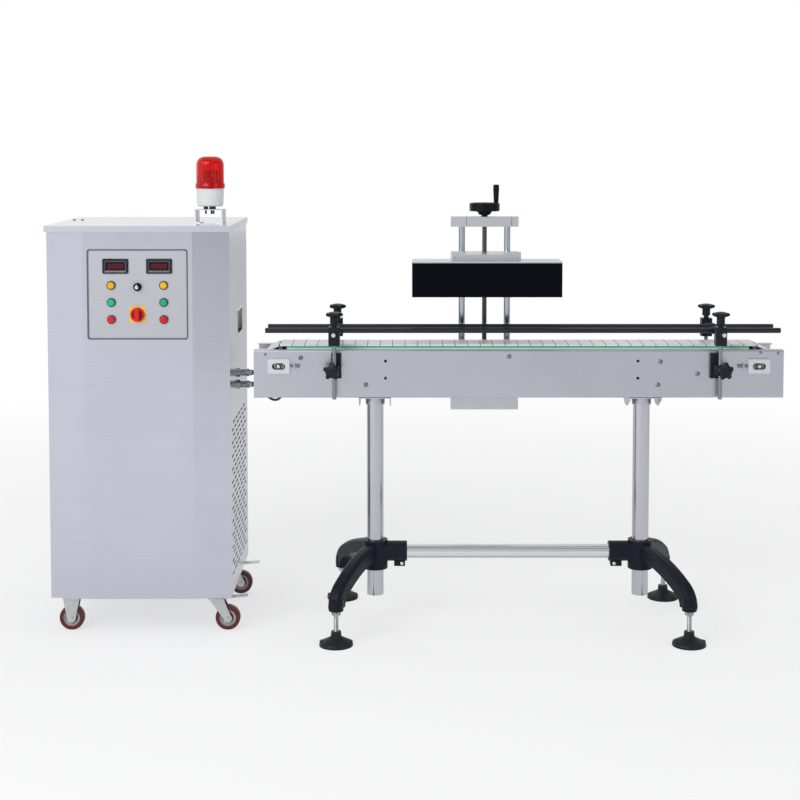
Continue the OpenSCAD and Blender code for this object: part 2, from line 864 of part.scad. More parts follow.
// Both legs of a fork with the axle between them, wheel centre at offset
module fork_legs(top_half, top_z, offset) {
  translate([0, 0, axle_z]) {
    for (s = [-1, 1]) translate([0, s * (fork_gap + fork_t / 2) + fork_t / 2, 0])
      along_y() fork_leg(top_half, top_z, offset);
    translate([offset, fork_gap + fork_t + 4, 0]) along_y() cylinder(d = axle_d, h = 2 * (fork_gap + fork_t + 4));
  }
}
module mount_plate() {
  translate([-caster_plate_l / 2, -caster_plate_w / 2, cab_z - caster_plate_t])
    cube([caster_plate_l, caster_plate_w, caster_plate_t]);
}
module caster_mounts() {
  color(steel) at_cab() for (y = [-1, 1]) {
    translate([-caster_x, y * caster_y, 0]) {
      mount_plate();
      fork_legs(caster_plate_l / 2 - 4, cab_z - caster_plate_t + cut, 0);
    }
    translate([caster_x, y * caster_y, 0]) {
      mount_plate();
      translate([0, 0, race_z]) cylinder(d = race_d, h = race_h + cut);
      translate([0, 0, crown_z - clear]) cylinder(d = kingpin_d, h = race_z - crown_z + 2 * clear);
      translate([0, 0, crown_z - clear - kingpin_head]) cylinder(d = kingpin_d + 8, h = kingpin_head);
    }
  }
}
module swivel_fork(y) {
  color(steel) at_cab() translate([caster_x, y * caster_y, 0]) difference() {
    union() {
      translate([0, 0, crown_z]) cylinder(d = crown_d, h = crown_t);
      fork_legs(crown_d / 2 - 4, crown_z + crown_t / 2, caster_trail);
      translate([crown_d / 2 - 6, -pedal_w / 2, crown_z]) rotate([0, -pedal_tilt, 0])
        cube([pedal_l, pedal_w, fork_t]);
    }
    translate([0, 0, crown_z - cut]) cylinder(d = kingpin_d + 2 * run_fit, h = crown_t + 2 * cut);
    translate([0, 0, crown_z - kingpin_head - 2 * clear]) cylinder(d = kingpin_d + 10, h = kingpin_head + 2 * clear);
  }
}
module swivel_fork_front() { swivel_fork(-1); }
module swivel_fork_back() { swivel_fork(1); }
// A cast wheel with a rounded tread, recessed webs and a hub as wide as the fork
module wheel(x, y) {
  hub_half = fork_gap - clear / 2;
  r = wheel_d / 2;
  color("#7d2a2c") at_cab() translate([x, y, axle_z]) along_y() rotate_extrude() difference() {
    union() {
      translate([axle_d / 2 + run_fit, -hub_half]) square([7, 2 * hub_half]);
      translate([axle_d / 2 + run_fit, -wheel_w / 4]) square([r - 12, wheel_w / 2]);
      translate([r - 14, -wheel_w / 2]) square([10, wheel_w]);
      translate([r - 5, 4 - wheel_w / 2]) square([5, wheel_w - 8]);
      for (s = [-1, 1]) translate([r - 4, s * (wheel_w / 2 - 4)]) circle(4);
    }
    square([0.01, 0.01]);
  }
}
module wheel_front_left() { wheel(-caster_x, -caster_y); }
module wheel_back_left() { wheel(-caster_x, caster_y); }
module wheel_front_right() { wheel(caster_x + caster_trail, -caster_y); }
module wheel_back_right() { wheel(caster_x + caster_trail, caster_y); }

// Conveyor frame
module side_plate() {
  difference() {
    union() {
      translate([-conv_len / 2, -frame_w / 2, plate_low]) along_x()
        linear_extrude(conv_len) channel(plate_h, top_flange, low_flange, plate_t, bend_r);
      for (s = [-1, 1]) translate([s * (shaft_x - block_l / 2 - adjuster_l / 2), -frame_w / 2, shaft_z])
        translate([-lug_t / 2, -lug_w, -lug_w / 2]) cube([lug_t, lug_w + cut, lug_w]);
    }
    for (s = [-1, 1]) {
      translate([s * shaft_x, 0, shaft_z]) along_y()
        linear_extrude(frame_w + 4 * lug_w) obround(block_slot + 2 * slot_room, shaft_d + 4 * slot_room);
      translate([s * (shaft_x - block_l / 2 - adjuster_l / 2), -frame_w / 2 - block_t / 2, shaft_z])
        rotate([0, 90, 0]) cylinder(d = adjuster_d + 2 * set_fit, h = 2 * lug_w, center = true);
    }
    for (s = [-1, 1]) translate([s * (shaft_x - notch_in + conv_len / 2), 0, plate_top])
      cube([conv_len, slat_w + 2 * notch_room, 4 * plate_t], center = true);
    for (b = concat(ties, stub_bolts)) plate_hole(b[0], b[1], bolt_shank + 2 * set_fit);
    for (x = accessory_x, z = [-1, 1]) plate_hole(x, accessory_z + z * accessory_gap / 2, accessory_d);
  }
}
module plate_hole(x, z, d) {
  translate([x, -plate_in + cut, z]) along_y() cylinder(d = d, h = plate_t + 2 * cut);
}
module side_plates() {
  color(steel) at_conv() {
    side_plate();
    mirror([0, 1, 0]) side_plate();
    translate([hose_end - plate_t / 2, plate_in - tab_w, tab_low]) difference() {
      cube([plate_t, tab_w + cut, tab_high - tab_low]);
      for (z = [hose_high, hose_low]) translate([-cut, hose_y - plate_in + tab_w, z - tab_low])
        rotate([0, 90, 0]) cylinder(d = hose_d + 2 + 2 * set_fit, h = plate_t + 2 * cut);
    }
  }
}
// A domed bolt head with a hexagon socket
module button_head() {
  r = bolt_head_d / 2;
  difference() {
    rotate_extrude() polygon([[0, 0], [r, 0], [r, bolt_head_t / 3], [r - 1, bolt_head_t * 2 / 3], [r - 3, bolt_head_t],
      [0, bolt_head_t]]);
    translate([0, 0, bolt_head_t - key_in]) cylinder(d = key_d, h = key_in + cut, $fn = 6);
  }
}
// A bolt through the front plate with its head outside, l long behind the plate
module plate_bolt(x, z, l, d) {
  translate([x, -frame_w / 2, z]) along_y() {
    button_head();
    translate([0, 0, -plate_t]) cylinder(d = bolt_shank, h = plate_t + cut);
    translate([0, 0, -plate_t - l]) cylinder(d = d, h = l);
  }
}
module adjuster(s) {
  translate([s * (shaft_x - block_l / 2), -frame_w / 2 - block_t / 2, shaft_z]) rotate([0, -90 * s, 0]) {
    cylinder(d = adjuster_d, h = adjuster_l);
    translate([0, 0, adjuster_l - adjuster_head]) cylinder(d = adjuster_head_d, h = adjuster_head, $fn = 6);
  }
}
module frame_ties() {
  color(bright) at_conv() {
    for (b = ties) {
      plate_bolt(b[0], b[1], plate_in, tie_d);
      mirror([0, 1, 0]) plate_bolt(b[0], b[1], plate_in, tie_d);
    }
    for (m = [0, 1]) mirror([0, m, 0]) {
      for (b = stub_bolts) plate_bolt(b[0], b[1], bolt_head_t, bolt_head_d);
      for (s = [-1, 1]) adjuster(s);
    }
  }
}
module wear_strips() {
  color("#1f9d5b") at_conv() for (s = [0, 1]) mirror([0, s, 0])
    translate([notch_in - shaft_x, -slat_w / 2, plate_top]) cube([2 * (shaft_x - notch_in), strip_w, strip_h]);
}
module take_up_blocks() {
  color(alloy) at_conv() for (s = [-1, 1], m = [0, 1]) mirror([0, m, 0])
    translate([s * shaft_x, -frame_w / 2, shaft_z]) along_y() linear_extrude(block_t) difference() {
      rounded(block_l, block_h, 3);
      obround(block_slot, shaft_d + 2 * run_fit);
    }
}

// Slat chain
function wrap_deg(u) = u * 360 / teeth;
// Place of the pin u pitches round the loop, from the top of the right sprocket
function chain_pin(u) =
  u < run_pitches ? [shaft_x - u * slat_pitch, pitch_r]
  : u < run_pitches + teeth / 2 ? [-shaft_x, 0] + pitch_r * around(90 + wrap_deg(u - run_pitches))
  : u < 2 * run_pitches + teeth / 2 ? [(u - run_pitches - teeth / 2) * slat_pitch - shaft_x, -pitch_r]
  : [shaft_x, 0] + pitch_r * around(270 + wrap_deg(u - 2 * run_pitches - teeth / 2));
function around(a) = [cos(a), sin(a)];

// One slat with its pin at the origin, the next pin along +X and its face towards +Z
module slat() {
  r = knuckle_d / 2;
  translate([slat_gap / 2, -slat_w / 2, r]) cube([slat_pitch - slat_gap, slat_w, slat_t]);
  hinge_part(0, knuckle_l, 1);
  for (s = [-1, 1]) translate([slat_pitch, s * (knuckle_l / 2 + hinge_gap + ear_l / 2), 0]) hinge_part(0, ear_l, -1);
}
// A knuckle with the web that joins it to its own slat
module hinge_part(x, l, way) {
  r = knuckle_d / 2;
  translate([x, l / 2, 0]) along_y() cylinder(d = knuckle_d - knuckle_fit, h = l);
  translate([x + (way > 0 ? slat_gap : -r - 3), -l / 2, r - hinge_web])
    cube([r + 3 - slat_gap, l, hinge_web + cut]);
}
module slat_chain() {
  color(polymer) at_conv() for (i = [0:slat_count - 1]) {
    a = chain_pin(i);
    b = chain_pin((i + 1) % slat_count);
    translate([a[0], 0, shaft_z + a[1]]) rotate([0, atan2(a[1] - b[1], b[0] - a[0]), 0])
      mirror([0, 0, 1]) slat();
  }
}
// A sprocket whose seats hold the knuckles, on its hub
module sprocket() {
  along_y() {
    translate([0, 0, -sprocket_w / 2]) linear_extrude(sprocket_w) difference() {
      circle(sprocket_r);
      for (i = [0:teeth - 1]) translate(pitch_r * around(90 + wrap_deg(i))) circle(d = knuckle_d + 0.2);
    }
    translate([0, 0, -hub_l / 2]) cylinder(d = hub_d, h = hub_l);
  }
}
module shaft_line(x, back) {
  front = frame_w / 2 + block_t;
  translate([x, 0, shaft_z]) {
    translate([0, back, 0]) along_y() cylinder(d = shaft_d, h = front + back);
    for (s = [-1, 1]) translate([0, s * (plate_in - clear - stop_t / 2) + stop_t / 2, 0])
      along_y() cylinder(d = stop_d, h = stop_t);
    sprocket();
  }
}
motor_face = frame_w / 2 + block_t + gearbox_stand;
module drive_shaft() { color(bright) at_conv() shaft_line(-shaft_x, motor_face + gearbox_l - 8); }
module idler_shaft() { color(bright) at_conv() shaft_line(shaft_x, frame_w / 2 + block_t); }

// A gear motor whose output shaft lies above its middle, with a terminal box below
module gear_motor() {
  color("#4a4e54") at_conv() translate([-shaft_x, 0, shaft_z]) difference() {
    union() {
      translate([-gearbox_w / 2, motor_face, -motor_drop - gearbox_w / 2]) cube([gearbox_w, gearbox_l, gearbox_w]);
      for (x = [-1, 1], z = [-1, 1]) translate([x * pillar_x, motor_face + cut, z * pillar_z - motor_drop])
        along_y() cylinder(d = pillar_d, h = block_t + gearbox_stand + cut);
      translate([0, motor_face + gearbox_l + motor_l, -motor_drop]) along_y() {
        cylinder(d = motor_d - 8, h = motor_l + cut);
        for (i = [0:fin_n - 1]) rotate([0, 0, 360 / fin_n * (i + 0.5)])
          translate([0, -fin_t / 2, 0]) cube([motor_d / 2, fin_t, motor_l]);
      }
      translate([0, motor_face + gearbox_l + motor_l - cut, -motor_drop]) rotate([-90, 0, 0]) plug(fan_d, fan_l + cut, 4);
      translate([-box_l / 2, box_y - box_l / 2, box_low]) cube([box_l, box_l, box_h]);
      translate([0, box_y, box_low - gland_l]) cylinder(d = cable_d + 6, h = gland_l + cut);
    }
    translate([0, motor_face + gearbox_l - 6, 0]) along_y()
      cylinder(d = shaft_d + 2 * run_fit, h = gearbox_l);
  }
}
box_y = motor_face + gearbox_l + motor_l / 2;

// Stand
module leg_brackets() {
  color(steel) at_conv() for (x = leg_at) translate([x, 0, plate_low - saddle_t]) {
    translate([-saddle_w / 2, -saddle_d / 2, 0]) cube([saddle_w, saddle_d, saddle_t]);
    for (s = [-1, 1]) translate([s * (saddle_w - saddle_t) / 2 - saddle_t / 2, 0, 0]) along_x()
      linear_extrude(saddle_t) polygon([[-saddle_d / 2, cut], [saddle_d / 2, cut], [saddle_d / 2, -4],
        [leg_d / 2, -saddle_drop], [-leg_d / 2, -saddle_drop], [-saddle_d / 2, -4]]);
    translate([0, 0, -socket_h]) pipe(leg_d + 2 * socket_wall, leg_d + 2 * set_fit, socket_h + cut);
  }
}
module leg_tubes() {
  color(bright) at_conv() for (x = leg_at) translate([x, 0, leg_z])
    pipe(leg_d, leg_d - 2 * tube_wall, plate_low - saddle_t - leg_z);
}
module crossbar() {
  l = leg_span - 2 * bar_start;
  color(bright) at_conv() translate([leg_shift - l / 2, 0, bar_z]) rotate([0, 90, 0])
    pipe(bar_d, bar_d - 2 * tube_wall, l);
}
// Section of an arm, r out from its arc's centre, with a rounded upper side
module arm_section(r, w, h) {
  translate([r - h / 2, -w / 2]) square([h - arm_round, w]);
  translate([r, arm_round - w / 2]) square([h / 2, w - 2 * arm_round]);
  for (s = [-1, 1]) translate([r + h / 2 - arm_round, s * (w / 2 - arm_round)]) circle(arm_round);
}
// An arm along +X: a long shallow arc, then a short one down to the foot
module hub_arm() {
  start = [arm_start, arm_top];
  c1 = start - arm_r1 * around(90 - arm_a);
  bend = c1 + arm_r1 * around(90 - arm_b);
  c2 = bend - arm_r2 * around(90 - arm_b);
  translate([c1[0], 0, c1[1]]) along_y() rotate([0, 0, 90 - arm_b])
    rotate_extrude(angle = arm_b - arm_a, $fn = 96) arm_section(arm_r1, arm_w, arm_h);
  translate([c2[0], 0, c2[1]]) along_y() rotate_extrude(angle = 90 - arm_b + arm_lap)
    arm_section(arm_r2, arm_w - clear, arm_h - clear);
  translate([foot_reach, 0, boss_z]) cylinder(d = boss_d, h = boss_h);
}
module tripod_hub() {
  difference() {
    union() {
      translate([0, 0, collar_z]) cylinder(d = collar_d, h = collar_h);
      translate([0, 0, bar_z]) rotate([0, -90, 0]) cylinder(d = sleeve_d, h = sleeve_l);
      translate([-sleeve_l + 6, -13, bar_z - sleeve_d / 2 - 14]) cube([lug_l, 26, 24]);
      for (s = [-1, 1]) rotate([0, 0, s * arm_splay]) hub_arm();
    }
    translate([0, 0, collar_z - cut]) cylinder(d = leg_d + 2 * set_fit, h = collar_h + 2 * cut);
    translate([-bar_start + set_fit, 0, bar_z]) rotate([0, -90, 0]) cylinder(d = bar_d + 2 * set_fit, h = sleeve_l);
    translate([-sleeve_l - cut, -1.5, bar_z - sleeve_d]) cube([lug_l + 20, 3, sleeve_d]);
    for (s = [-1, 1]) rotate([0, 0, s * arm_splay]) translate([foot_reach, 0, boss_z - cut])
      cylinder(d = stem_d + 2 * set_fit, h = stem_in + cut);
  }
}
module tripod_hubs() {
  color(black) at_conv() {
    translate([leg_at[1], 0, 0]) tripod_hub();
    translate([leg_at[0], 0, 0]) mirror([1, 0, 0]) tripod_hub();
  }
}
module foot_places() {
  at_conv() for (x = [0, 1], y = [-1, 1]) translate([leg_at[x] + (2 * x - 1) * foot_x, y * foot_y, 0]) children();
}
module foot_stems() {
  color(bright) foot_places() {
    translate([0, 0, stem_floor]) cylinder(d = stem_d, h = boss_z + stem_in - stem_floor);
    translate([0, 0, boss_z - nut_h]) cylinder(d = nut_w / cos(30), h = nut_h, $fn = 6);
  }
}
module foot_discs() {
  color(black) foot_places() difference() {
    union() {
      rotate_extrude() polygon([[0, 0], [disc_d / 2, 0], [disc_d / 2, disc_edge - 4], [disc_d / 2 - 2, disc_edge],
        [socket_d / 2 + 4, 24], [socket_d / 2, 28], [socket_d / 2 - 1, disc_h], [0, disc_h]]);
      for (s = [-1, 1]) translate([s * anchor_gap / 2, 0, 0]) cylinder(d = ear_d, h = disc_edge + 4);
    }
    translate([0, 0, stem_floor]) cylinder(d = stem_d + 2 * set_fit, h = disc_h);
    for (s = [-1, 1]) translate([s * anchor_gap / 2, 0, -cut]) cylinder(d = anchor_d, h = disc_h);
  }
}

// Guide rails: drawn for the front and mirrored for the back
module both_sides(side) { at_conv() mirror([0, side, 0]) children(); }
module post_places(y) { for (x = post_at) translate([x, -y, 0]) children(); }
module guide_rail(side) {
  color(black) both_sides(side) difference() {
    union() {
      translate([rail_shift - rail_len / 2, -rail_y, rail_z]) rotate([0, 90, 0]) cylinder(d = rail_d, h = rail_len);
      post_places(rail_y) translate([-grip_l / 2, 0, rail_z]) rotate([0, 90, 0]) cylinder(d = grip_d, h = grip_l);
      post_places(rail_y) translate([0, 0, rail_z]) along_y() cylinder(d = pin_d + 8, h = grip_d / 2 + 4);
    }
    post_places(pin_in) translate([0, 0, rail_z]) along_y() cylinder(d = pin_d + 2 * set_fit, h = 40);
  }
}
module rail_pins(side) {
  l = post_y + clamp_d / 2 + pin_out - pin_in;
  color(bright) both_sides(side) post_places(pin_in) translate([0, 0, rail_z]) along_y()
    cylinder(d = pin_d, h = l);
}
module rail_posts(side) {
  color(bright) both_sides(side) post_places(post_y) translate([0, 0, plate_low])
    cylinder(d = post_d, h = post_top - plate_low);
}
module post_clamps(side) {
  color(black) both_sides(side) post_places(post_y) {
    difference() {
      translate([0, 0, clamp_low]) linear_extrude(clamp_h) rounded(clamp_w, clamp_d, 4);
      translate([0, 0, clamp_low - cut]) cylinder(d = post_d + 2 * set_fit, h = post_top - clamp_low + cut);
      translate([0, clamp_d, rail_z]) along_y() cylinder(d = pin_d + 2 * run_fit, h = 2 * clamp_d);
    }
    translate([0, 0, clamp_low + clamp_h - cut])
      star_knob(star_d, star_t, star_hub_d, star_hub_h, star_neck_d, star_neck_h);
  }
}
module front_guide_rail() { guide_rail(0); }
module front_rail_pins() { rail_pins(0); }
module front_rail_posts() { rail_posts(0); }
module front_post_clamps() { post_clamps(0); }
module back_guide_rail() { guide_rail(1); }
module back_rail_pins() { rail_pins(1); }
module back_rail_posts() { rail_posts(1); }
module back_post_clamps() { post_clamps(1); }
// A bracket on the frame with a jaw round its post, off mm to one side and its knob turned
module rail_bracket(off, turn) {
  reach = post_y - frame_w / 2;
  difference() {
    union() {
      translate([off - bracket_w / 2, reach - bracket_t, bracket_low]) cube([bracket_w, bracket_t, bracket_h]);
      rotate([0, 0, turn]) translate([0, 0, jaw_z]) {
        translate([-jaw_w / 2, -jaw_out, -jaw_h / 2]) cube([jaw_w, jaw_out + reach - jaw_back, jaw_h]);
        translate([0, cut - jaw_out, 0]) along_y() rotate([0, 0, 18])
          star_knob(star_d, star_t, star_hub_d, 4, star_neck_d, 5);
      }
    }
    translate([0, 0, bracket_low - cut]) cylinder(d = post_d + 2 * run_fit, h = bracket_h + 2 * cut);
  }
}
module rail_brackets() {
  color(black) for (side = [0, 1], i = [0, 1]) both_sides(side) translate([post_at[i], -post_y, 0])
    rail_bracket(bracket_off[i], knob_turn[i]);
}

// Sealing head and its lift
module at_head(y, z) { at_conv() translate([head_shift, y, z]) children(); }
module rod_places() { for (s = [-1, 1]) translate([s * rod_gap / 2, 0, 0]) children(); }
module guide_rods() {
  color(bright) at_head(rod_y, base_z + rod_foot) rod_places() cylinder(d = rod_d, h = top_z - base_z - rod_foot - 4);
}
// A crossbar with a clamping slit beside each rod
module beam(l) {
  difference() {
    translate([-l / 2, -beam_d / 2, 0]) cube([l, beam_d, beam_h]);
    rod_places() translate([rod_d / 2 + 2, -beam_d / 2 - cut, -cut]) cube([slit_w, slit_in + cut, beam_h + 2 * cut]);
  }
}
module rod_supports() {
  color(alloy) {
    at_head(rod_y, top_beam_z) difference() {
      beam(beam_l);
      rod_places() translate([0, 0, -cut]) cylinder(d = rod_d + 2 * set_fit, h = beam_h - 4 + cut);
      translate([0, 0, -cut]) cylinder(d = screw_d + 2 * run_fit, h = beam_h + 2 * cut);
    }
    at_head(rod_y, base_z) difference() {
      translate([-beam_l / 2, base_y - rod_y, 0]) {
        cube([beam_l, rod_y + beam_d / 2 - base_y, base_h]);
        cube([beam_l, mount_t, base_drop + mount_lap]);
      }
      rod_places() translate([0, 0, rod_foot]) cylinder(d = rod_d + 2 * set_fit, h = base_h);
      translate([0, 0, rod_foot]) cylinder(d = screw_d + 2 * run_fit, h = base_h);
    }
  }
}
module lead_screw() {
  color("#6b6e74") at_head(rod_y, base_z + rod_foot + clear)
    cylinder(d = screw_d, h = top_z + screw_in - base_z - rod_foot);
}
// A solid handwheel with a dished face on a stepped hub
module handwheel() {
  r = handwheel_d / 2;
  top = hub_h + rim_h;
  color(black) at_head(rod_y, top_z + clear) difference() {
    union() {
      rotate_extrude() polygon([[0, 0], [hub_low_d / 2, 0], [hub_low_d / 2, 4], [bell_d / 2 - 2, 5], [bell_d / 2, 9],
        [bell_d / 2 + 7, hub_h], [r - 1.5, hub_h], [r, hub_h + 1.5], [r, top - 1.5], [r - 1.5, top], [r - rim_t, top],
        [r - rim_t - 1, top - dish], [hub_low_d / 2 + 2, top - dish], [hub_low_d / 2, top - 3], [0, top - 3]]);
      rotate([0, 0, crank_turn]) translate([crank_r, 0, hub_h]) {
        cylinder(d = crank_d, h = rim_h);
        cylinder(d = crank_pin, h = rim_h + crank_h - 10);
      }
    }
    translate([0, 0, -cut]) cylinder(d = screw_d + 2 * set_fit, h = screw_in + clear + cut);
  }
}
// A grip that widens towards its rounded end, free on its pin
module crank_handle() {
  r = crank_d / 2;
  color(black) at_head(rod_y, top_z + clear + hub_h + rim_h + crank_gap) rotate([0, 0, crank_turn])
    translate([crank_r, 0, 0]) rotate_extrude() difference() {
      polygon([[0, 0], [r - 2.5, 0], [r - 2, 1.5], [r, 0.75 * crank_h], [r, crank_h - 4], [r - 1.5, crank_h - 1],
        [r - 4, crank_h], [0, crank_h]]);
      translate([0, -cut]) square([crank_pin / 2 + run_fit, crank_h - 8 + cut]);
    }
}
module head_carriage() {
  color(alloy) {
    difference() {
      union() {
        at_head(rod_y, beam_z) beam(beam_l);
        at_head(0, head_top) {
          translate([-beam_l / 2, arm_in - 20, 0]) cube([beam_l, rod_y - arm_in + 20, arm_t]);
          for (s = [-1, 1]) translate([s * (beam_l - clip_w) / 2 - clip_w / 2, arm_in - 20, 0]) cube([clip_w, clip_d, clip_h]);
        }
      }
      at_head(rod_y, beam_z - cut) {
        rod_places() cylinder(d = rod_d + 2 * run_fit, h = beam_h + 2 * cut);
        cylinder(d = screw_d + 2 * run_fit, h = beam_h + 2 * cut);
      }
      at_head(0, head_top + 9) for (s = [-1, 1]) translate([s * (beam_l / 2 - 9), arm_in - 20 + clip_d / 2, 0])
        along_y() cylinder(d = bolt_d, h = clip_d);
    }
    at_head(0, head_top - cover_t) translate([-head_l / 2, -head_d / 2, 0]) cube([head_l, head_d, cover_t]);
  }
}
module head_box() {
  color(black) at_head(0, head_z) {
    difference() {
      translate([-head_l / 2, -head_d / 2, 0]) cube([head_l, head_d, head_h - cover_t]);
      translate([head_wall - head_l / 2, head_wall - head_d / 2, head_wall])
        cube([head_l - 2 * head_wall, head_d - 2 * head_wall, head_h]);
    }
    for (s = [-1, 1]) translate([s * head_l / 4, head_d / 2 - cut, head_h / 2])
      rotate([-90, 0, 0]) pipe(inlet_d, inlet_d / 2, inlet_l + cut);
  }
}

// Hoses and cable: a tube of n sides swept along its route by one polyhedron
function unit(v) = v / norm(v);
function heading(p, i) = unit(p[min(i + 1, len(p) - 1)] - p[max(i - 1, 0)]);
function side_of(t) = unit(cross(t, [0, 1, 0.2]));
module tube_along(p, d, n) {
  points = [for (i = [0:len(p) - 1], k = [0:n - 1])
    let (t = heading(p, i), s = side_of(t), c = cross(t, s), a = 360 * k / n)
      p[i] + d / 2 * (cos(a) * s + sin(a) * c)];
  sides = [for (i = [0:len(p) - 2], k = [0:n - 1])
    [i * n + k, i * n + (k + 1) % n, (i + 1) * n + (k + 1) % n, (i + 1) * n + k]];
  caps = [[for (k = [n - 1:-1:0]) k], [for (k = [0:n - 1]) (len(p) - 1) * n + k]];
  polyhedron(points, concat(sides, caps), convexity = 4);
}
hose_start = cab_x + cab_w / 2 + fit_len - conv_x;
module coolant_hose(z) {
  start = [[hose_start, hose_y, z], [hose_start + 8, hose_y, z]];
  end = [[hose_end - plate_t / 2 - hose_nose - 8, hose_y, z], [hose_end - plate_t / 2 - hose_nose, hose_y, z]];
  color(rubber) at_conv() tube_along(concat(start, [for (m = hose_mid) [m[0], hose_y, z + m[1]]], end), hose_d, 12);
}
module coolant_hose_high() { coolant_hose(hose_high); }
module coolant_hose_low() { coolant_hose(hose_low); }
module motor_cable() {
  start = [[cable_start, cable_y, cable_high], [cable_start + 4, cable_y, cable_high]];
  end = [[-shaft_x, box_y, cable_end_z]];
  color(rubber) at_conv() tube_along(concat(start, cable_route, end), cable_d, 10);
}
cable_start = cab_x + cab_w / 2 + cable_fit - conv_x;
cable_end_z = shaft_z + box_low - gland_l - 2 * clear;

cabinet_shell();
cabinet_lid();
back_panel();
control_panel();
panel_trim();
panel_meters();
control_bezels();
pilot_lamps();
reset_button();
start_button();
stop_button();
power_knob();
switch_plate();
switch_handle();
side_handles();
hose_fittings();
beacon_bracket();
beacon_base();
beacon_dome();
beacon_reflector();
caster_mounts();
wheel_front_left();
wheel_back_left();
wheel_front_right();
wheel_back_right();
swivel_fork_front();
swivel_fork_back();
side_plates();
frame_ties();
wear_strips();
slat_chain();
drive_shaft();
idler_shaft();
take_up_blocks();
gear_motor();
leg_brackets();
leg_tubes();
crossbar();
tripod_hubs();
foot_stems();
foot_discs();
front_guide_rail();
front_rail_pins();
front_rail_posts();
front_post_clamps();
back_guide_rail();
back_rail_pins();
back_rail_posts();
back_post_clamps();
rail_brackets();
guide_rods();
rod_supports();
lead_screw();
handwheel();
crank_handle();
head_carriage();
head_box();
coolant_hose_high();
coolant_hose_low();
motor_cable();
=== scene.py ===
import math

import bmesh
import bpy
from mathutils import Matrix, Vector


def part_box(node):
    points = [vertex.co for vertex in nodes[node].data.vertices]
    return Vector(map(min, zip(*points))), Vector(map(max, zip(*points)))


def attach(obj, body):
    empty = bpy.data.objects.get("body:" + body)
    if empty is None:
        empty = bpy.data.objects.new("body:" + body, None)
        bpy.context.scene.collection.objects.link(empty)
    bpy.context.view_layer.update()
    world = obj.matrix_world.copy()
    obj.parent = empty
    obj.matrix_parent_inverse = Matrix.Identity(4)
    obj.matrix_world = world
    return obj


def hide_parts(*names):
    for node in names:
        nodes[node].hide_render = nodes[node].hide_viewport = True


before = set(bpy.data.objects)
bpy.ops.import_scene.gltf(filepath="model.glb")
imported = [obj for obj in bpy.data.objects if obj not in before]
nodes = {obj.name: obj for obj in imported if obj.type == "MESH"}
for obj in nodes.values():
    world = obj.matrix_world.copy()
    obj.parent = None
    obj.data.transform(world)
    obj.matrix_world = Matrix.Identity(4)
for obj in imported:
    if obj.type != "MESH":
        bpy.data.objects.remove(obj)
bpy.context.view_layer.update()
scene = bpy.context.scene
scene.view_settings.view_transform = "Standard"

# the two units' places in the shared frame, in metres
conveyor = {"x": 0.307, "y": -0.0373675}
cabinet = {"x": -0.831, "y": 0.0676325, "panelY": -0.1853675, "panelZ": 1.032, "lidZ": 1.236}
print("frame loaded:", len(nodes), "nodes")


# node helpers: a value is either a socket to link or a constant to set
def feed(tree, socket, value):
    if hasattr(value, "is_linked"):
        tree.links.new(value, socket)
    else:
        socket.default_value = value


def calc(tree, operation, *values):
    node = tree.nodes.new("ShaderNodeMath")
    node.operation = operation
    for socket, value in zip(node.inputs, values):
        feed(tree, socket, value)
    return node.outputs[0]


def vectorCalc(tree, operation, *values):
    node = tree.nodes.new("ShaderNodeVectorMath")
    node.operation = operation
    for socket, value in zip(node.inputs, values):
        feed(tree, socket, value)
    return node.outputs["Value" if operation == "LENGTH" else "Vector"]


def axesOf(tree, vector):
    split = tree.nodes.new("ShaderNodeSeparateXYZ")
    tree.links.new(vector, split.inputs[0])
    return split.outputs


def mapRange(tree, value, low, high, fromLow=0.3, fromHigh=0.7):
    ranged = tree.nodes.new("ShaderNodeMapRange")
    for label, number in (("From Min", fromLow), ("From Max", fromHigh), ("To Min", low), ("To Max", high)):
        ranged.inputs[label].default_value = number
    tree.links.new(value, ranged.inputs["Value"])
    return ranged.outputs["Result"]


def mixColor(tree, factor, first, second):
    mix = tree.nodes.new("ShaderNodeMix")
    mix.data_type = "RGBA"
    for socket, value in ((mix.inputs[0], factor), (mix.inputs[6], first), (mix.inputs[7], second)):
        feed(tree, socket, (*value, 1.0) if isinstance(value, tuple) else value)
    return mix.outputs[2]


def mixShader(tree, factor, first, second):
    mix = tree.nodes.new("ShaderNodeMixShader")
    for socket, value in zip(mix.inputs, (factor, first.outputs[0], second.outputs[0])):
        tree.links.new(value, socket)
    return mix


def placeGroup(tree, group, vector, **values):
    node = tree.nodes.new("ShaderNodeGroup")
    node.node_tree = group
    tree.links.new(vector, node.inputs["Vector"])
    for label, value in values.items():
        node.inputs[label].default_value = value
    return node.outputs


# shared shader groups
def groupWith(name, inputs, outputs):
    group = bpy.data.node_groups.new(name, "ShaderNodeTree")
    for label, kind in inputs:
        group.interface.new_socket(label, in_out="INPUT", socket_type=kind)
    for label in outputs:
        group.interface.new_socket(label, in_out="OUTPUT", socket_type="NodeSocketFloat")
    return group, group.nodes.new("NodeGroupInput").outputs, group.nodes.new("NodeGroupOutput").inputs


# scale and detail of each noise, and the part of the last that shows as specks
grainLook = {"Grain": (1.0, 4.0), "Blotch": (5.0, 2.0), "Speck": (260.0, 1.0), "speckSpan": (0.62, 0.75)}


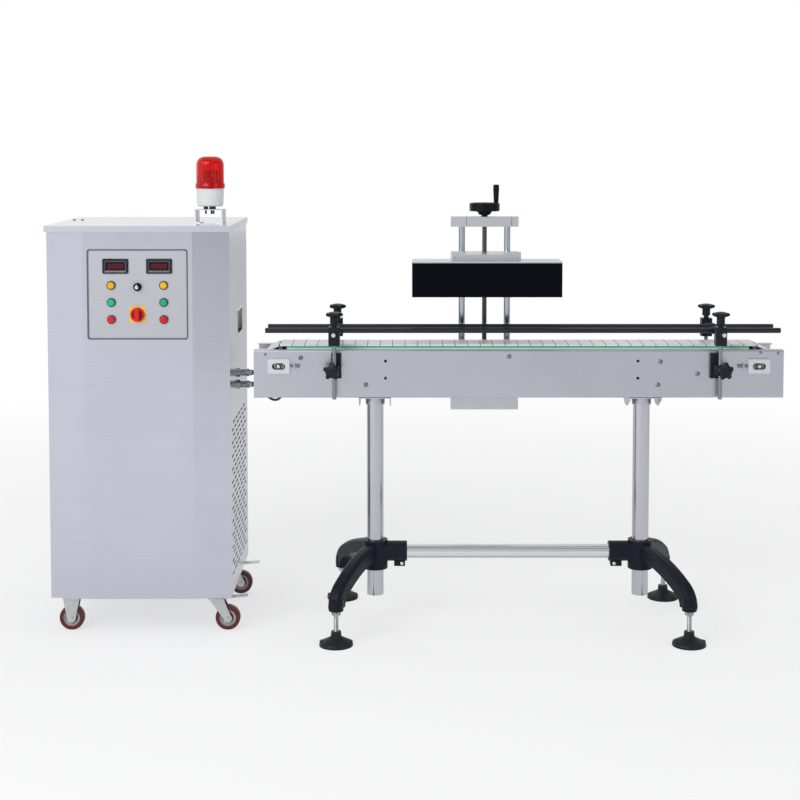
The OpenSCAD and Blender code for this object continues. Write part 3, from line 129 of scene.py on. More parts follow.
def makeGrainGroup():
    # fine directional grain, broad soft blotches and sparse specks
    labels = ("Grain", "Blotch", "Speck")
    sockets = (("Vector", "NodeSocketVector"), ("Stretch", "NodeSocketVector"))
    group, into, out = groupWith("grainField", sockets, labels)
    stretched = vectorCalc(group, "MULTIPLY", into["Vector"], into["Stretch"])
    for label, source in zip(labels, (stretched, into["Vector"], into["Vector"])):
        noise = group.nodes.new("ShaderNodeTexNoise")
        noise.inputs["Scale"].default_value, noise.inputs["Detail"].default_value = grainLook[label]
        group.links.new(source, noise.inputs["Vector"])
        group.links.new(noise.outputs["Fac"], out[label])
    return group


def makeThreadGroup():
    # rings along Z for turned threads
    sockets = (("Vector", "NodeSocketVector"), ("Pitch", "NodeSocketFloat"))
    group, into, out = groupWith("threadRings", sockets, ("Height",))
    turns = calc(group, "DIVIDE", axesOf(group, into["Vector"])["Z"], into["Pitch"])
    group.links.new(calc(group, "PINGPONG", turns, 0.5), out["Height"])
    return group


def makeRadiusGroup():
    # one outside the given radius round the Y axis through the mapped origin, else nought
    sockets = (("Vector", "NodeSocketVector"), ("Radius", "NodeSocketFloat"))
    group, into, out = groupWith("axisRadius", sockets, ("Outer",))
    away = vectorCalc(group, "LENGTH", vectorCalc(group, "MULTIPLY", into["Vector"], (1, 0, 1)))
    group.links.new(calc(group, "GREATER_THAN", away, into["Radius"]), out["Outer"])
    return group


grainGroup = makeGrainGroup()
threadGroup = makeThreadGroup()
radiusGroup = makeRadiusGroup()
print("shader groups ready")

# materials: what a look leaves out, and the sockets that it may set for the whole surface
plainFinish = {"metal": 0.0, "roughVary": 0.08, "stretch": (60, 60, 60), "grain": 0.3, "blotch": 0.2,
               "bump": 0.1, "bumpDepth": 0.0004}
ownSockets = ("Coat Weight", "Coat Roughness", "Transmission Weight", "IOR", "Specular IOR Level",
              "Emission Strength")


def makeFinish(name, look):
    # look: color, dark, metal, rough, stretch, grain, blotch, bump and what else a finish needs
    look = {**plainFinish, **look}
    made = bpy.data.materials.new(name)
    made.use_nodes = True
    tree = made.node_tree
    shader = tree.nodes["Principled BSDF"]
    coords = tree.nodes.new("ShaderNodeTexCoord").outputs["Object"]
    field = placeGroup(tree, grainGroup, coords, Stretch=look["stretch"])
    color = look["color"]
    for label in ("Grain", "Blotch"):
        color = mixColor(tree, mapRange(tree, field[label], 0, look[label.lower()]), color, look["dark"])
    if "speck" in look:
        specks = mapRange(tree, field["Speck"], 0, look["speck"], *grainLook["speckSpan"])
        color = mixColor(tree, specks, color, look["speckColor"])
    tree.links.new(color, shader.inputs["Base Color"])
    rough, vary = look["rough"], look["roughVary"]
    tree.links.new(mapRange(tree, field["Grain"], rough - vary, rough + vary), shader.inputs["Roughness"])
    height = field["Grain"]
    if "pitch" in look:
        height = placeGroup(tree, threadGroup, coords, Pitch=look["pitch"])["Height"]
    bump = tree.nodes.new("ShaderNodeBump")
    bump.inputs["Strength"].default_value = look["bump"]
    bump.inputs["Distance"].default_value = look["bumpDepth"]
    tree.links.new(height, bump.inputs["Height"])
    tree.links.new(bump.outputs["Normal"], shader.inputs["Normal"])
    shader.inputs["Metallic"].default_value = look["metal"]
    for socket in ownSockets:
        if socket in look:
            shader.inputs[socket].default_value = look[socket]
    if "glow" in look:
        shader.inputs["Emission Color"].default_value = (*look["glow"], 1.0)
    return made


finishes = {
    "cabinetSheet": {"color": (0.60, 0.615, 0.70), "dark": (0.49, 0.505, 0.59), "metal": 1.0, "rough": 0.20,
                     "roughVary": 0.05, "stretch": (1.5, 1.5, 1200), "grain": 0.32, "blotch": 0.25,
                     "bump": 0.015, "bumpDepth": 0.0001},
    "lidSheet": {"color": (0.66, 0.68, 0.74), "dark": (0.55, 0.57, 0.63), "metal": 1.0, "rough": 0.27,
                 "roughVary": 0.05, "stretch": (6, 900, 900), "grain": 0.4, "blotch": 0.15, "bump": 0.03,
                 "bumpDepth": 0.0001},
    "plateSheet": {"color": (0.58, 0.595, 0.655), "dark": (0.45, 0.465, 0.53), "metal": 1.0, "rough": 0.31,
                   "roughVary": 0.05, "stretch": (2, 1200, 1200), "grain": 0.38, "blotch": 0.3, "bump": 0.04,
                   "bumpDepth": 0.0001},
    "panelSheet": {"color": (0.56, 0.575, 0.625), "dark": (0.47, 0.485, 0.53), "metal": 0.9, "rough": 0.33,
                   "stretch": (1.5, 1.5, 1200), "grain": 0.3, "blotch": 0.2, "bump": 0.03,
                   "bumpDepth": 0.0001},
    "tubeSteel": {"color": (0.55, 0.56, 0.60), "dark": (0.44, 0.45, 0.49), "metal": 1.0, "rough": 0.15,
                  "roughVary": 0.03, "stretch": (300, 300, 4), "grain": 0.25, "blotch": 0.15, "bump": 0.0},
    "barSteel": {"color": (0.78, 0.79, 0.82), "dark": (0.64, 0.65, 0.68), "metal": 1.0, "rough": 0.16,
                 "roughVary": 0.03, "stretch": (4, 300, 300), "grain": 0.25, "blotch": 0.15, "bump": 0.0},
    "rodSteel": {"color": (0.50, 0.54, 0.60), "dark": (0.37, 0.40, 0.46), "metal": 1.0, "rough": 0.13,
                 "roughVary": 0.03, "stretch": (300, 300, 4), "grain": 0.3, "blotch": 0.2, "bump": 0.0},
    # chromeSteel's near-black mottling is a painted reflection, standing for dark surroundings mirrored in the
    # fittings
    "chromeSteel": {"color": (0.46, 0.48, 0.52), "dark": (0.06, 0.065, 0.075), "metal": 1.0, "rough": 0.10,
                    "roughVary": 0.04, "stretch": (140, 140, 140), "grain": 0.9, "blotch": 0.2, "bump": 0.05},
    "boltSteel": {"color": (0.30, 0.31, 0.33), "dark": (0.16, 0.17, 0.19), "metal": 1.0, "rough": 0.20,
                  "stretch": (300, 300, 300), "grain": 0.4, "blotch": 0.2, "bump": 0.03},
    "brightSteel": {"color": (0.78, 0.78, 0.785), "dark": (0.60, 0.60, 0.61), "metal": 1.0, "rough": 0.16,
                    "stretch": (300, 300, 300), "grain": 0.25, "blotch": 0.15, "bump": 0.03},
    "zincSteel": {"color": (0.62, 0.63, 0.64), "dark": (0.44, 0.45, 0.46), "metal": 0.95, "rough": 0.34,
                  "stretch": (160, 160, 160), "grain": 0.45, "blotch": 0.3, "bump": 0.08},
    "threadSteel": {"color": (0.60, 0.60, 0.60), "dark": (0.40, 0.40, 0.41), "metal": 0.95, "rough": 0.32,
                    "stretch": (200, 200, 200), "grain": 0.4, "blotch": 0.3, "bump": 0.9, "bumpDepth": 0.0012,
                    "pitch": 0.002},
    "screwSteel": {"color": (0.15, 0.14, 0.14), "dark": (0.075, 0.068, 0.066), "metal": 0.9, "rough": 0.34,
                   "stretch": (200, 200, 200), "grain": 0.5, "blotch": 0.4, "bump": 0.05},
    "millAlloy": {"color": (0.62, 0.65, 0.69), "dark": (0.50, 0.53, 0.57), "metal": 0.9, "rough": 0.34,
                  "stretch": (30, 300, 500), "grain": 0.4, "blotch": 0.2, "bump": 0.06},
    "blockAlloy": {"color": (0.74, 0.755, 0.79), "dark": (0.63, 0.645, 0.68), "metal": 0.85, "rough": 0.36,
                   "stretch": (300, 300, 300), "grain": 0.3, "blotch": 0.2, "bump": 0.04},
    "blackMould": {"color": (0.012, 0.014, 0.022), "dark": (0.006, 0.007, 0.012), "rough": 0.38,
                   "roughVary": 0.08, "stretch": (420, 420, 420), "grain": 0.6, "blotch": 0.5, "bump": 0.2,
                   "bumpDepth": 0.0002, "Specular IOR Level": 0.22},
    "railMould": {"color": (0.013, 0.017, 0.029), "dark": (0.007, 0.009, 0.017), "rough": 0.22,
                  "roughVary": 0.06, "stretch": (8, 400, 400), "grain": 0.4, "blotch": 0.4, "bump": 0.08,
                  "bumpDepth": 0.0002, "Specular IOR Level": 0.4},
    "hubMould": {"color": (0.013, 0.017, 0.028), "dark": (0.007, 0.009, 0.016), "rough": 0.38,
                 "roughVary": 0.1, "stretch": (300, 300, 300), "grain": 0.6, "blotch": 0.5, "bump": 0.25,
                 "bumpDepth": 0.0003, "Specular IOR Level": 0.12},
    "discMould": {"color": (0.018, 0.021, 0.029), "dark": (0.009, 0.010, 0.015), "rough": 0.46,
                  "roughVary": 0.1, "stretch": (160, 160, 160), "grain": 0.7, "blotch": 0.5, "bump": 0.3,
                  "bumpDepth": 0.0004, "Specular IOR Level": 0.25},
    "blackGloss": {"color": (0.005, 0.0055, 0.009), "dark": (0.003, 0.0035, 0.006), "rough": 0.28,
                   "stretch": (200, 200, 200), "grain": 0.4, "blotch": 0.4, "bump": 0.04,
                   "Specular IOR Level": 0.14},
    "bezelRing": {"color": (0.035, 0.042, 0.06), "dark": (0.02, 0.024, 0.035), "rough": 0.24,
                  "stretch": (200, 200, 200), "grain": 0.3, "blotch": 0.3, "bump": 0.04, "Coat Weight": 0.5,
                  "Coat Roughness": 0.1},
    "meterFrame": {"color": (0.030, 0.040, 0.070), "dark": (0.020, 0.027, 0.048), "rough": 0.24,
                   "stretch": (200, 200, 200), "grain": 0.3, "blotch": 0.3, "bump": 0.03, "Coat Weight": 0.25,
                   "Coat Roughness": 0.1},
    "headPaint": {"color": (0.004, 0.0045, 0.007), "dark": (0.0025, 0.003, 0.005), "rough": 0.44,
                  "stretch": (240, 240, 240), "grain": 0.5, "blotch": 0.5, "bump": 0.06, "bumpDepth": 0.0002,
                  "Specular IOR Level": 0.03},
    # the panel trim's dark blue-grey is painted shade, standing for the shadow gap round the control panel
    "gapShadeTrim": {"color": (0.095, 0.125, 0.165), "dark": (0.065, 0.085, 0.115), "rough": 0.5,
                   "stretch": (300, 300, 300), "grain": 0.4, "blotch": 0.3, "bump": 0.1},
    "hoseRubber": {"color": (0.020, 0.021, 0.024), "dark": (0.011, 0.011, 0.013), "rough": 0.46,
                   "stretch": (200, 900, 900), "grain": 0.6, "blotch": 0.4, "bump": 0.3, "bumpDepth": 0.0003},
    "slatMould": {"color": (0.88, 0.875, 0.89), "dark": (0.72, 0.695, 0.71), "rough": 0.38,
                  "stretch": (40, 260, 260), "grain": 0.5, "blotch": 0.5, "bump": 0.12, "bumpDepth": 0.0003,
                  "speck": 0.25, "speckColor": (0.60, 0.53, 0.55)},
    "stripMould": {"color": (0.012, 0.46, 0.20), "dark": (0.008, 0.34, 0.15), "rough": 0.42,
                   "stretch": (12, 300, 300), "grain": 0.5, "blotch": 0.4, "bump": 0.1},
    "beaconBase": {"color": (0.80, 0.80, 0.81), "dark": (0.70, 0.70, 0.715), "rough": 0.34,
                   "stretch": (200, 200, 200), "grain": 0.3, "blotch": 0.3, "bump": 0.06},
    "domeRed": {"color": (0.80, 0.007, 0.002), "dark": (0.66, 0.004, 0.001), "rough": 0.03, "roughVary": 0.01,
                "stretch": (60, 60, 60), "grain": 0.3, "blotch": 0.3, "bump": 0.02,
                "Transmission Weight": 0.96, "IOR": 1.34, "Specular IOR Level": 0.5,
                "glow": (1.0, 0.01, 0.003), "Emission Strength": 0.015},
    "mirrorSteel": {"color": (0.9, 0.9, 0.9), "dark": (0.8, 0.8, 0.8), "metal": 1.0, "rough": 0.05,
                    "roughVary": 0.02, "grain": 0.2, "blotch": 0.2, "bump": 0.02},
    "yellowCap": {"color": (0.90, 0.50, 0.004), "dark": (0.76, 0.38, 0.003), "rough": 0.22, "grain": 0.3,
                  "blotch": 0.3, "bump": 0.03, "Coat Weight": 0.15, "Coat Roughness": 0.1,
                  "Specular IOR Level": 0.25},
    "yellowPlate": {"color": (0.94, 0.60, 0.13), "dark": (0.80, 0.48, 0.08), "rough": 0.35, "grain": 0.3,
                    "blotch": 0.3, "bump": 0.04},
    "greenCap": {"color": (0.003, 0.46, 0.23), "dark": (0.002, 0.33, 0.16), "rough": 0.22, "grain": 0.3,
                 "blotch": 0.3, "bump": 0.03, "Coat Weight": 0.15, "Coat Roughness": 0.1,
                 "Specular IOR Level": 0.25},
    "redCap": {"color": (0.76, 0.004, 0.006), "dark": (0.58, 0.003, 0.004), "rough": 0.22, "grain": 0.3,
               "blotch": 0.3, "bump": 0.03, "Coat Weight": 0.15, "Coat Roughness": 0.1,
               "Specular IOR Level": 0.25},
    "switchRed": {"color": (0.76, 0.020, 0.012), "dark": (0.58, 0.012, 0.008), "Specular IOR Level": 0.25,
                  "rough": 0.32, "stretch": (300, 300, 300), "grain": 0.3, "blotch": 0.3, "bump": 0.08},
    "postSteel": {"color": (0.29, 0.30, 0.35), "dark": (0.21, 0.22, 0.27), "metal": 1.0, "rough": 0.24,
                  "roughVary": 0.03, "stretch": (300, 300, 4), "grain": 0.25, "blotch": 0.15, "bump": 0.0},
    "motorPaint": {"color": (0.20, 0.215, 0.23), "dark": (0.13, 0.14, 0.15), "rough": 0.40,
                   "stretch": (300, 300, 300), "grain": 0.5, "blotch": 0.5, "bump": 0.25,
                   "bumpDepth": 0.0004},
    "digitRed": {"color": (0.24, 0.008, 0.008), "dark": (0.16, 0.004, 0.004), "rough": 0.3, "grain": 0.2,
                 "blotch": 0.2, "bump": 0.02, "glow": (1.0, 0.04, 0.04), "Emission Strength": 0.06},
    "markBlack": {"color": (0.03, 0.03, 0.032), "dark": (0.02, 0.02, 0.02), "rough": 0.5, "grain": 0.3,
                  "blotch": 0.3, "bump": 0.02},
    "treadRubber": {"color": (0.115, 0.007, 0.011), "dark": (0.07, 0.004, 0.006), "rough": 0.36,
                    "stretch": (200, 200, 200), "grain": 0.5, "blotch": 0.4, "bump": 0.1},
    "lampLens": {"color": (0.92, 0.46, 0.004), "dark": (0.736, 0.368, 0.0032), "rough": 0.15, "grain": 0.2,
                 "blotch": 0.2, "bump": 0.03, "Coat Weight": 0.2, "Coat Roughness": 0.08,
                 "Specular IOR Level": 0.25},
}
# these are made below, each with a pattern of its own; in some the pattern is painted shade, a painted
# highlight or a painted reflection
patternedOrShaded = ("slatMould", "stripMould", "beaconBase", "lampLens", "treadRubber", "switchRed", "barSteel")
finish = {name: makeFinish(name, look) for name, look in finishes.items() if name not in patternedOrShaded}


def partsOf(made):
    # a finish's tree, its colour socket, the colour that feeds it and the object's coordinates
    tree = made.node_tree
    base = tree.nodes["Principled BSDF"].inputs["Base Color"]
    return tree, base, base.links[0].from_socket, tree.nodes["Texture Coordinate"].outputs["Object"]


def centred(tree, coords, x, z):
    place = tree.nodes.new("ShaderNodeMapping")
    place.inputs["Location"].default_value = (-x, 0, -z)
    tree.links.new(coords, place.inputs["Vector"])
    return place.outputs["Vector"]


# line: the colour of the painted shade between neighbouring slats
slatLook = {"pitch": 0.0381, "before": 20, "gap": 0.030, "line": (0.20, 0.175, 0.19)}


def makeSlatFinish():
    # painted shade: darker lines where neighbouring slats meet, standing for the shade in the gaps between them
    made = makeFinish("slatMould", finishes["slatMould"])
    tree, base, source, coords = partsOf(made)
    start = conveyor["x"] - slatLook["before"] * slatLook["pitch"]
    turns = calc(tree, "DIVIDE", calc(tree, "ADD", axesOf(tree, coords)["X"], -start), slatLook["pitch"])
    inGap = calc(tree, "LESS_THAN", calc(tree, "PINGPONG", turns, 0.5), slatLook["gap"])
    tree.links.new(mixColor(tree, inGap, source, slatLook["line"]), base)
    return made


wheelLook = {"ring": (0.50, 0.49, 0.47), "ringRadius": 0.0245, "hub": (0.06, 0.06, 0.062), "hubRadius": 0.0175}


def makeWheelFinish(name, centre):
    # red tread outside, a pale ring, then the darker cast centre
    made = makeFinish(name, finishes["treadRubber"])
    tree, base, source, coords = partsOf(made)
    place = centred(tree, coords, centre.x, centre.z)
    for part in ("ring", "hub"):
        outer = placeGroup(tree, radiusGroup, place, Radius=wheelLook[part + "Radius"])["Outer"]
        source = mixColor(tree, outer, wheelLook[part], source)
    tree.links.new(source, base)
    return made


# the switch's well colour is painted shade inside its rim
switchLook = {"z": 0.972, "ring": 0.0165, "faceY": -0.1949, "wellShade": (0.22, 0.010, 0.008)}


def makeSwitchFinish():
    # bright red rim and lever, with painted shade darkening the red well between them
    made = makeFinish("switchRed", finishes["switchRed"])
    tree, base, source, coords = partsOf(made)
    place = centred(tree, coords, cabinet["x"], switchLook["z"])
    outer = placeGroup(tree, radiusGroup, place, Radius=switchLook["ring"])["Outer"]
    lever = calc(tree, "LESS_THAN", axesOf(tree, coords)["Y"], switchLook["faceY"])
    tree.links.new(mixColor(tree, calc(tree, "MAXIMUM", outer, lever), switchLook["wellShade"], source), base)
    return made


def heightIn(node, share):
    low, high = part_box(node)
    return low.z + (high.z - low.z) * share


# colours below the given heights, highest first
bandLook = {"lampLens": (((0.003, 0.50, 0.25), 1.0335), ((0.78, 0.004, 0.006), 0.9825)),
            # the wear strips' pale lower band is a painted highlight below the green
            "stripMould": (((0.66, 0.86, 0.80), heightIn("wear_strips", 0.35)),),
            # the crossbar's dark bottom band is a painted reflection of the floor below it
            "barSteel": (((0.30, 0.28, 0.27), heightIn("crossbar", 0.16)),),
            "beaconBase": (((0.03, 0.03, 0.033), 1.2885),)}


def makeBandFinish(name):
    made = makeFinish(name, finishes[name])
    tree, base, source, coords = partsOf(made)
    height = axesOf(tree, coords)["Z"]
    for color, cut in bandLook[name]:
        source = mixColor(tree, calc(tree, "LESS_THAN", height, cut), source, color)
    tree.links.new(source, base)
    return made


finish["slatMould"] = makeSlatFinish()
finish["switchRed"] = makeSwitchFinish()
for name in bandLook:
    finish[name] = makeBandFinish(name)

nodeFinish = {
    "cabinetSheet": ("cabinet_shell", "back_panel"),
    "lidSheet": ("cabinet_lid", "beacon_bracket"),
    "plateSheet": ("side_plates", "leg_brackets"),
    "panelSheet": ("control_panel",),
    "tubeSteel": ("leg_tubes",),
    "postSteel": ("front_rail_posts", "back_rail_posts"),
    "barSteel": ("crossbar",),
    "bezelRing": ("control_bezels",),
    "chromeSteel": ("hose_fittings",),
    "brightSteel": ("front_rail_pins", "back_rail_pins", "side_handles"),
    "rodSteel": ("guide_rods",),
    "boltSteel": ("frame_ties", "drive_shaft", "idler_shaft"),
    "zincSteel": ("caster_mounts", "swivel_fork_front", "swivel_fork_back"),
    "threadSteel": ("foot_stems",),
    "millAlloy": ("rod_supports", "head_carriage"),
    "blockAlloy": ("take_up_blocks",),
    "blackMould": ("front_post_clamps", "back_post_clamps", "rail_brackets"),
    "discMould": ("foot_discs",),
    "railMould": ("front_guide_rail", "back_guide_rail"),
    "hubMould": ("tripod_hubs",),
    "blackGloss": ("panel_meters", "power_knob", "handwheel", "crank_handle"),
    "headPaint": ("head_box",),
    "gapShadeTrim": ("panel_trim",),
    "slatMould": ("slat_chain",),
    "stripMould": ("wear_strips",),
    "beaconBase": ("beacon_base",),
    "domeRed": ("beacon_dome",),
    "mirrorSteel": ("beacon_reflector",),
    "lampLens": ("pilot_lamps",),
    "yellowCap": ("reset_button",),
    "yellowPlate": ("switch_plate",),
    "greenCap": ("start_button",),
    "redCap": ("stop_button",),
    "switchRed": ("switch_handle",),
    "motorPaint": ("gear_motor",),
    "screwSteel": ("lead_screw",),
    "hoseRubber": ("coolant_hose_high", "coolant_hose_low", "motor_cable"),
}
wheels = ("wheel_front_left", "wheel_back_left", "wheel_front_right", "wheel_back_right")


def dress(name, material):
    slots = nodes[name].data.materials
    slots.clear()
    slots.append(material)


for look, names in nodeFinish.items():
    for name in names:
        dress(name, finish[look])
for name in wheels:
    low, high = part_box(name)
    dress(name, makeWheelFinish(name + "_finish", (low + high) / 2))
print("materials on", sum(len(names) for names in nodeFinish.values()) + len(wheels), "nodes")

# new pieces: edges sharper than this many degrees stay crisp
pieceLook = {"sharp": 32}


def finishPiece(name, shape, material, body, smooth=True):
    mesh = bpy.data.meshes.new(name)
    bmesh.ops.recalc_face_normals(shape, faces=shape.faces)
    shape.to_mesh(mesh)
    shape.free()
    piece = bpy.data.objects.new(name, mesh)
    scene.collection.objects.link(piece)
    mesh.materials.append(material)
    if smooth:
        mesh.shade_smooth()
        mesh.set_sharp_from_angle(angle=math.radians(pieceLook["sharp"]))
    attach(piece, body)
    return piece


def addBox(shape, centre, size, turn=None):
    # a box at centre, optionally turned about it
    matrix = Matrix.Translation(centre) @ (turn or Matrix()) @ Matrix.Diagonal((*size, 1.0))
    bmesh.ops.create_cube(shape, size=1.0, matrix=matrix)


def addRod(shape, centre, radius, length, axis="Y", sides=32):
    turn = Matrix.Rotation(math.pi / 2, 4, "X") if axis == "Y" else Matrix()
    bmesh.ops.create_cone(shape, cap_ends=True, segments=sides, radius1=radius, radius2=radius, depth=length,
                          matrix=Matrix.Translation(centre) @ turn)


def makeDisc(name, base, look, material, body):
    # a flat disc that stands on base towards the front, with a rounded rim
    shape = bmesh.new()
    centre = base - Vector((0, look["thick"] / 2, 0))
    addRod(shape, centre, look["radius"], look["thick"], sides=look["sides"])
    rim = [e for e in shape.edges if all(v.co.y < centre.y for v in e.verts)]
    bmesh.ops.bevel(shape, geom=rim, offset=look["edge"], affect="EDGES", segments=2, profile=0.5, material=-1)
    finishPiece(name, shape, material, body)


# cords: routes repeat the points of the solids
cordLook = {"steps": 6, "sides": 8}
hoseRoute = {"x": (-0.790, -0.745, -0.700), "y": 0.072, "sag": 0.002, "lead": 0.008, "diameter": 0.014}
hoses = (("upperHose", "coolant_hose_high", 0.765), ("lowerHose", "coolant_hose_low", 0.728))
cableRoute = {"diameter": 0.008, "points": (
    (-0.842, 0.112, 0.722), (-0.838, 0.112, 0.722), (-0.8243, 0.1123, 0.7196), (-0.8134, 0.1135, 0.7135),
    (-0.803, 0.1165, 0.7047), (-0.7935, 0.121, 0.696), (-0.784, 0.1275, 0.6865), (-0.7755, 0.136, 0.677),
    (-0.7675, 0.147, 0.669), (-0.7595, 0.16, 0.664), (-0.7517, 0.173, 0.6623), (-0.744, 0.1865, 0.6655),
    (-0.738, 0.1965, 0.672), (-0.733, 0.2055, 0.6815), (-0.729, 0.2125, 0.69), (-0.7255, 0.2183, 0.7015),
    (-0.7239, 0.221, 0.7142))}


def smoothPath(points, steps):
    # a curve through every point, steps pieces to each span
    points = [Vector(p) for p in points]
    padded = [2 * points[0] - points[1], *points, 2 * points[-1] - points[-2]]
    path = []
    for a, b, c, d in zip(padded, padded[1:], padded[2:], padded[3:]):
        for step in range(steps):
            t = step / steps
            bend = (2 * a - 5 * b + 4 * c - d) * t * t + (3 * b - a - 3 * c + d) * t ** 3
            path.append(0.5 * (2 * b + (c - a) * t + bend))
    return [*path, points[-1]]


def makeCord(name, points, diameter, node):
    points = [(x + conveyor["x"], y + conveyor["y"], z) for x, y, z in points]
    path = smoothPath(points, cordLook["steps"])
    curve = bpy.data.curves.new(name, "CURVE")
    curve.dimensions = "3D"
    curve.bevel_depth = diameter / 2
    curve.bevel_resolution = cordLook["sides"]
    curve.use_fill_caps = True
    line = curve.splines.new("POLY")
    line.points.add(len(path) - 1)
    for point, place in zip(line.points, path):
        point.co = (*place, 1.0)
    cord = bpy.data.objects.new(name, curve)
    scene.collection.objects.link(cord)
    curve.materials.append(finish["hoseRubber"])
    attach(cord, "machine")
    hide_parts(node)


for name, node, height in hoses:
    low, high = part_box(node)
    start, end = low.x - conveyor["x"], high.x - conveyor["x"]
    stretch = [(start, 0), (start + hoseRoute["lead"], 0)]
    stretch += [(x, hoseRoute["sag"] if i else 0) for i, x in enumerate(hoseRoute["x"])]
    stretch += [(end - hoseRoute["lead"], 0), (end, 0)]
    points = [(x, hoseRoute["y"], height - drop) for x, drop in stretch]
    makeCord(name, points, hoseRoute["diameter"], node)
makeCord("motorCable", cableRoute["points"], cableRoute["diameter"], "motor_cable")
print("cords laid")

# meter frames: a bevelled lip inside each bezel
meterPlace = {"aside": 0.065, "rise": 0.084}
frameLook = {"wide": 0.068, "tall": 0.036, "lip": 0.0055, "depth": 0.0016, "proud": 0.0066, "wall": 0.0004}


def makeMeterFrame(name, centreX, centreZ):
    shape = bmesh.new()
    turn = Matrix.Rotation(math.pi / 2, 4, "X")
    size = Matrix.Diagonal((frameLook["wide"], frameLook["tall"], 1, 1))
    place = Matrix.Translation((centreX, cabinet["panelY"] - frameLook["proud"], centreZ))
    bmesh.ops.create_grid(shape, x_segments=1, y_segments=1, size=0.5, matrix=place @ turn @ size)
    inset = bmesh.ops.inset_region(shape, faces=shape.faces[:], thickness=frameLook["lip"], use_boundary=True,
                                   use_even_offset=True)
    centre = [f for f in shape.faces if f not in inset["faces"]]
    rim = {v for f in centre for v in f.verts}
    bmesh.ops.translate(shape, verts=list(rim), vec=(0, frameLook["depth"], 0))
    bmesh.ops.delete(shape, geom=centre, context="FACES_ONLY")
    bmesh.ops.solidify(shape, geom=shape.faces[:], thickness=-frameLook["wall"])
    finishPiece(name, shape, finish["meterFrame"], "machine", smooth=False)


# meter digits: four red eights of flat bars behind each window
digitLook = {"count": 4, "wide": 0.0076, "tall": 0.0128, "bar": 0.0016, "gap": 1.3, "pitch": 0.0120,
             "thick": 0.0005, "lean": 0.12, "proud": 0.004}


def makeDigits(name, centreX, centreZ):
    shape = bmesh.new()
    w, h, b, thick = (digitLook[key] for key in ("wide", "tall", "bar", "thick"))
    lean, space = digitLook["lean"], b * digitLook["gap"]
    faceY = cabinet["panelY"] - digitLook["proud"] - thick / 2
    for digit in range(digitLook["count"]):
        x = centreX + (digit - (digitLook["count"] - 1) / 2) * digitLook["pitch"]
        for dz in (-h / 2, 0, h / 2):
            addBox(shape, (x + dz * lean, faceY, centreZ + dz), (w - space, thick, b))
        for dx in (-w / 2, w / 2):
            for dz in (-h / 4, h / 4):
                addBox(shape, (x + dx + dz * lean, faceY, centreZ + dz), (b, thick, h / 2 - space))
    finishPiece(name, shape, finish["digitRed"], "machine", smooth=False)


for make, label in ((makeMeterFrame, "MeterFrame"), (makeDigits, "Digits")):
    for side, way in (("left", -1), ("right", 1)):
        make(side + label, cabinet["x"] + way * meterPlace["aside"], cabinet["panelZ"] + meterPlace["rise"])

# dial marks round the power knob, its silver cap and pointer
dialLook = {"z": 1.054, "inner": 0.0165, "outer": 0.0205, "count": 11, "sweep": 300, "thick": 0.0003,
            "wide": 0.0009}
knobLook = {"front": 0.0175, "pointer": (0.0012, 0.0004, 0.0035), "pointerRise": 0.0078}
capLook = {"radius": 0.0055, "thick": 0.0012, "edge": 0.0005, "sides": 48}


def makeDial():
    shape = bmesh.new()
    middle = (dialLook["inner"] + dialLook["outer"]) / 2
    size = (dialLook["wide"], dialLook["thick"], dialLook["outer"] - dialLook["inner"])
    hub = Vector((cabinet["x"], cabinet["panelY"] - dialLook["thick"] / 2, dialLook["z"]))
    for tick in range(dialLook["count"]):
        angle = math.radians(dialLook["sweep"] * (tick / (dialLook["count"] - 1) - 0.5))
        turn = Matrix.Rotation(angle, 4, "Y")
        addBox(shape, hub + turn @ Vector((0, 0, middle)), size, turn)
    finishPiece("dialMarks", shape, finish["markBlack"], "machine", smooth=False)
    front = Vector((cabinet["x"], cabinet["panelY"] - knobLook["front"], dialLook["z"]))
    makeDisc("knobCap", front, capLook, finish["brightSteel"], "power_dial")
    pointer = bmesh.new()
    size = knobLook["pointer"]
    addBox(pointer, front + Vector((0, -size[1] / 2, knobLook["pointerRise"])), size)
    finishPiece("knobPointer", pointer, finish["brightSteel"], "power_dial", smooth=False)


makeDial()
print("panel details done")

# small fasteners: plate corner screws, lid screws, hub screws and shaft end screws
fastenerLook = {"corner": ((-0.765, 0.8447), (0.730, 0.850), (0.783, 0.8486)), "cornerSize": (0.0045, 0.0028),
                "cornerY": 0.09, "lid": ((-0.252, 0.062), (-0.226, 0.062)), "lidSize": (0.0055, 0.003),
                "hub": (-0.353, 0.303), "hubZ": 0.1835, "hubY": 0.013, "hubSize": (0.006, 0.005),
                "shaft": 0.7239, "shaftZ": 0.80922, "shaftSize": (0.0055, 0.0035), "steps": 24,
                "merge": 0.00002}
washerLook = {"radius": 0.0092, "thick": 0.0010, "edge": 0.0004, "sides": 40}
# a head's outline, as shares of its radius and height, round a sunk socket
headOutline = ((1, 0), (1, 0.4), (0.86, 0.8), (0.52, 1), (0.42, 1), (0.38, 0.45), (0, 0.45))


def makeHeads(name, spots, size, material, body="machine"):
    # domed screw heads, each on its base and turned round the way it points
    shape = bmesh.new()
    radius, height = size
    for base, way in spots:
        base, way = Vector(base), Vector(way)
        side = way.orthogonal().normalized()
        ring = [shape.verts.new(base + side * radius * r + way * height * h) for r, h in headOutline]
        edges = [shape.edges.new(pair) for pair in zip(ring, ring[1:])]
        bmesh.ops.spin(shape, geom=ring + edges, cent=base, axis=way, angle=math.tau,
                       steps=fastenerLook["steps"], use_merge=True)
    bmesh.ops.remove_doubles(shape, verts=shape.verts, dist=fastenerLook["merge"])
    finishPiece(name, shape, material, body)


def onPlates(places, aside):
    # both sides of the conveyor's middle plane, facing outwards
    x0, y0 = conveyor["x"], conveyor["y"]
    return [((x0 + x, y0 + way * aside, z), (0, way, 0)) for x, z in places for way in (-1, 1)]


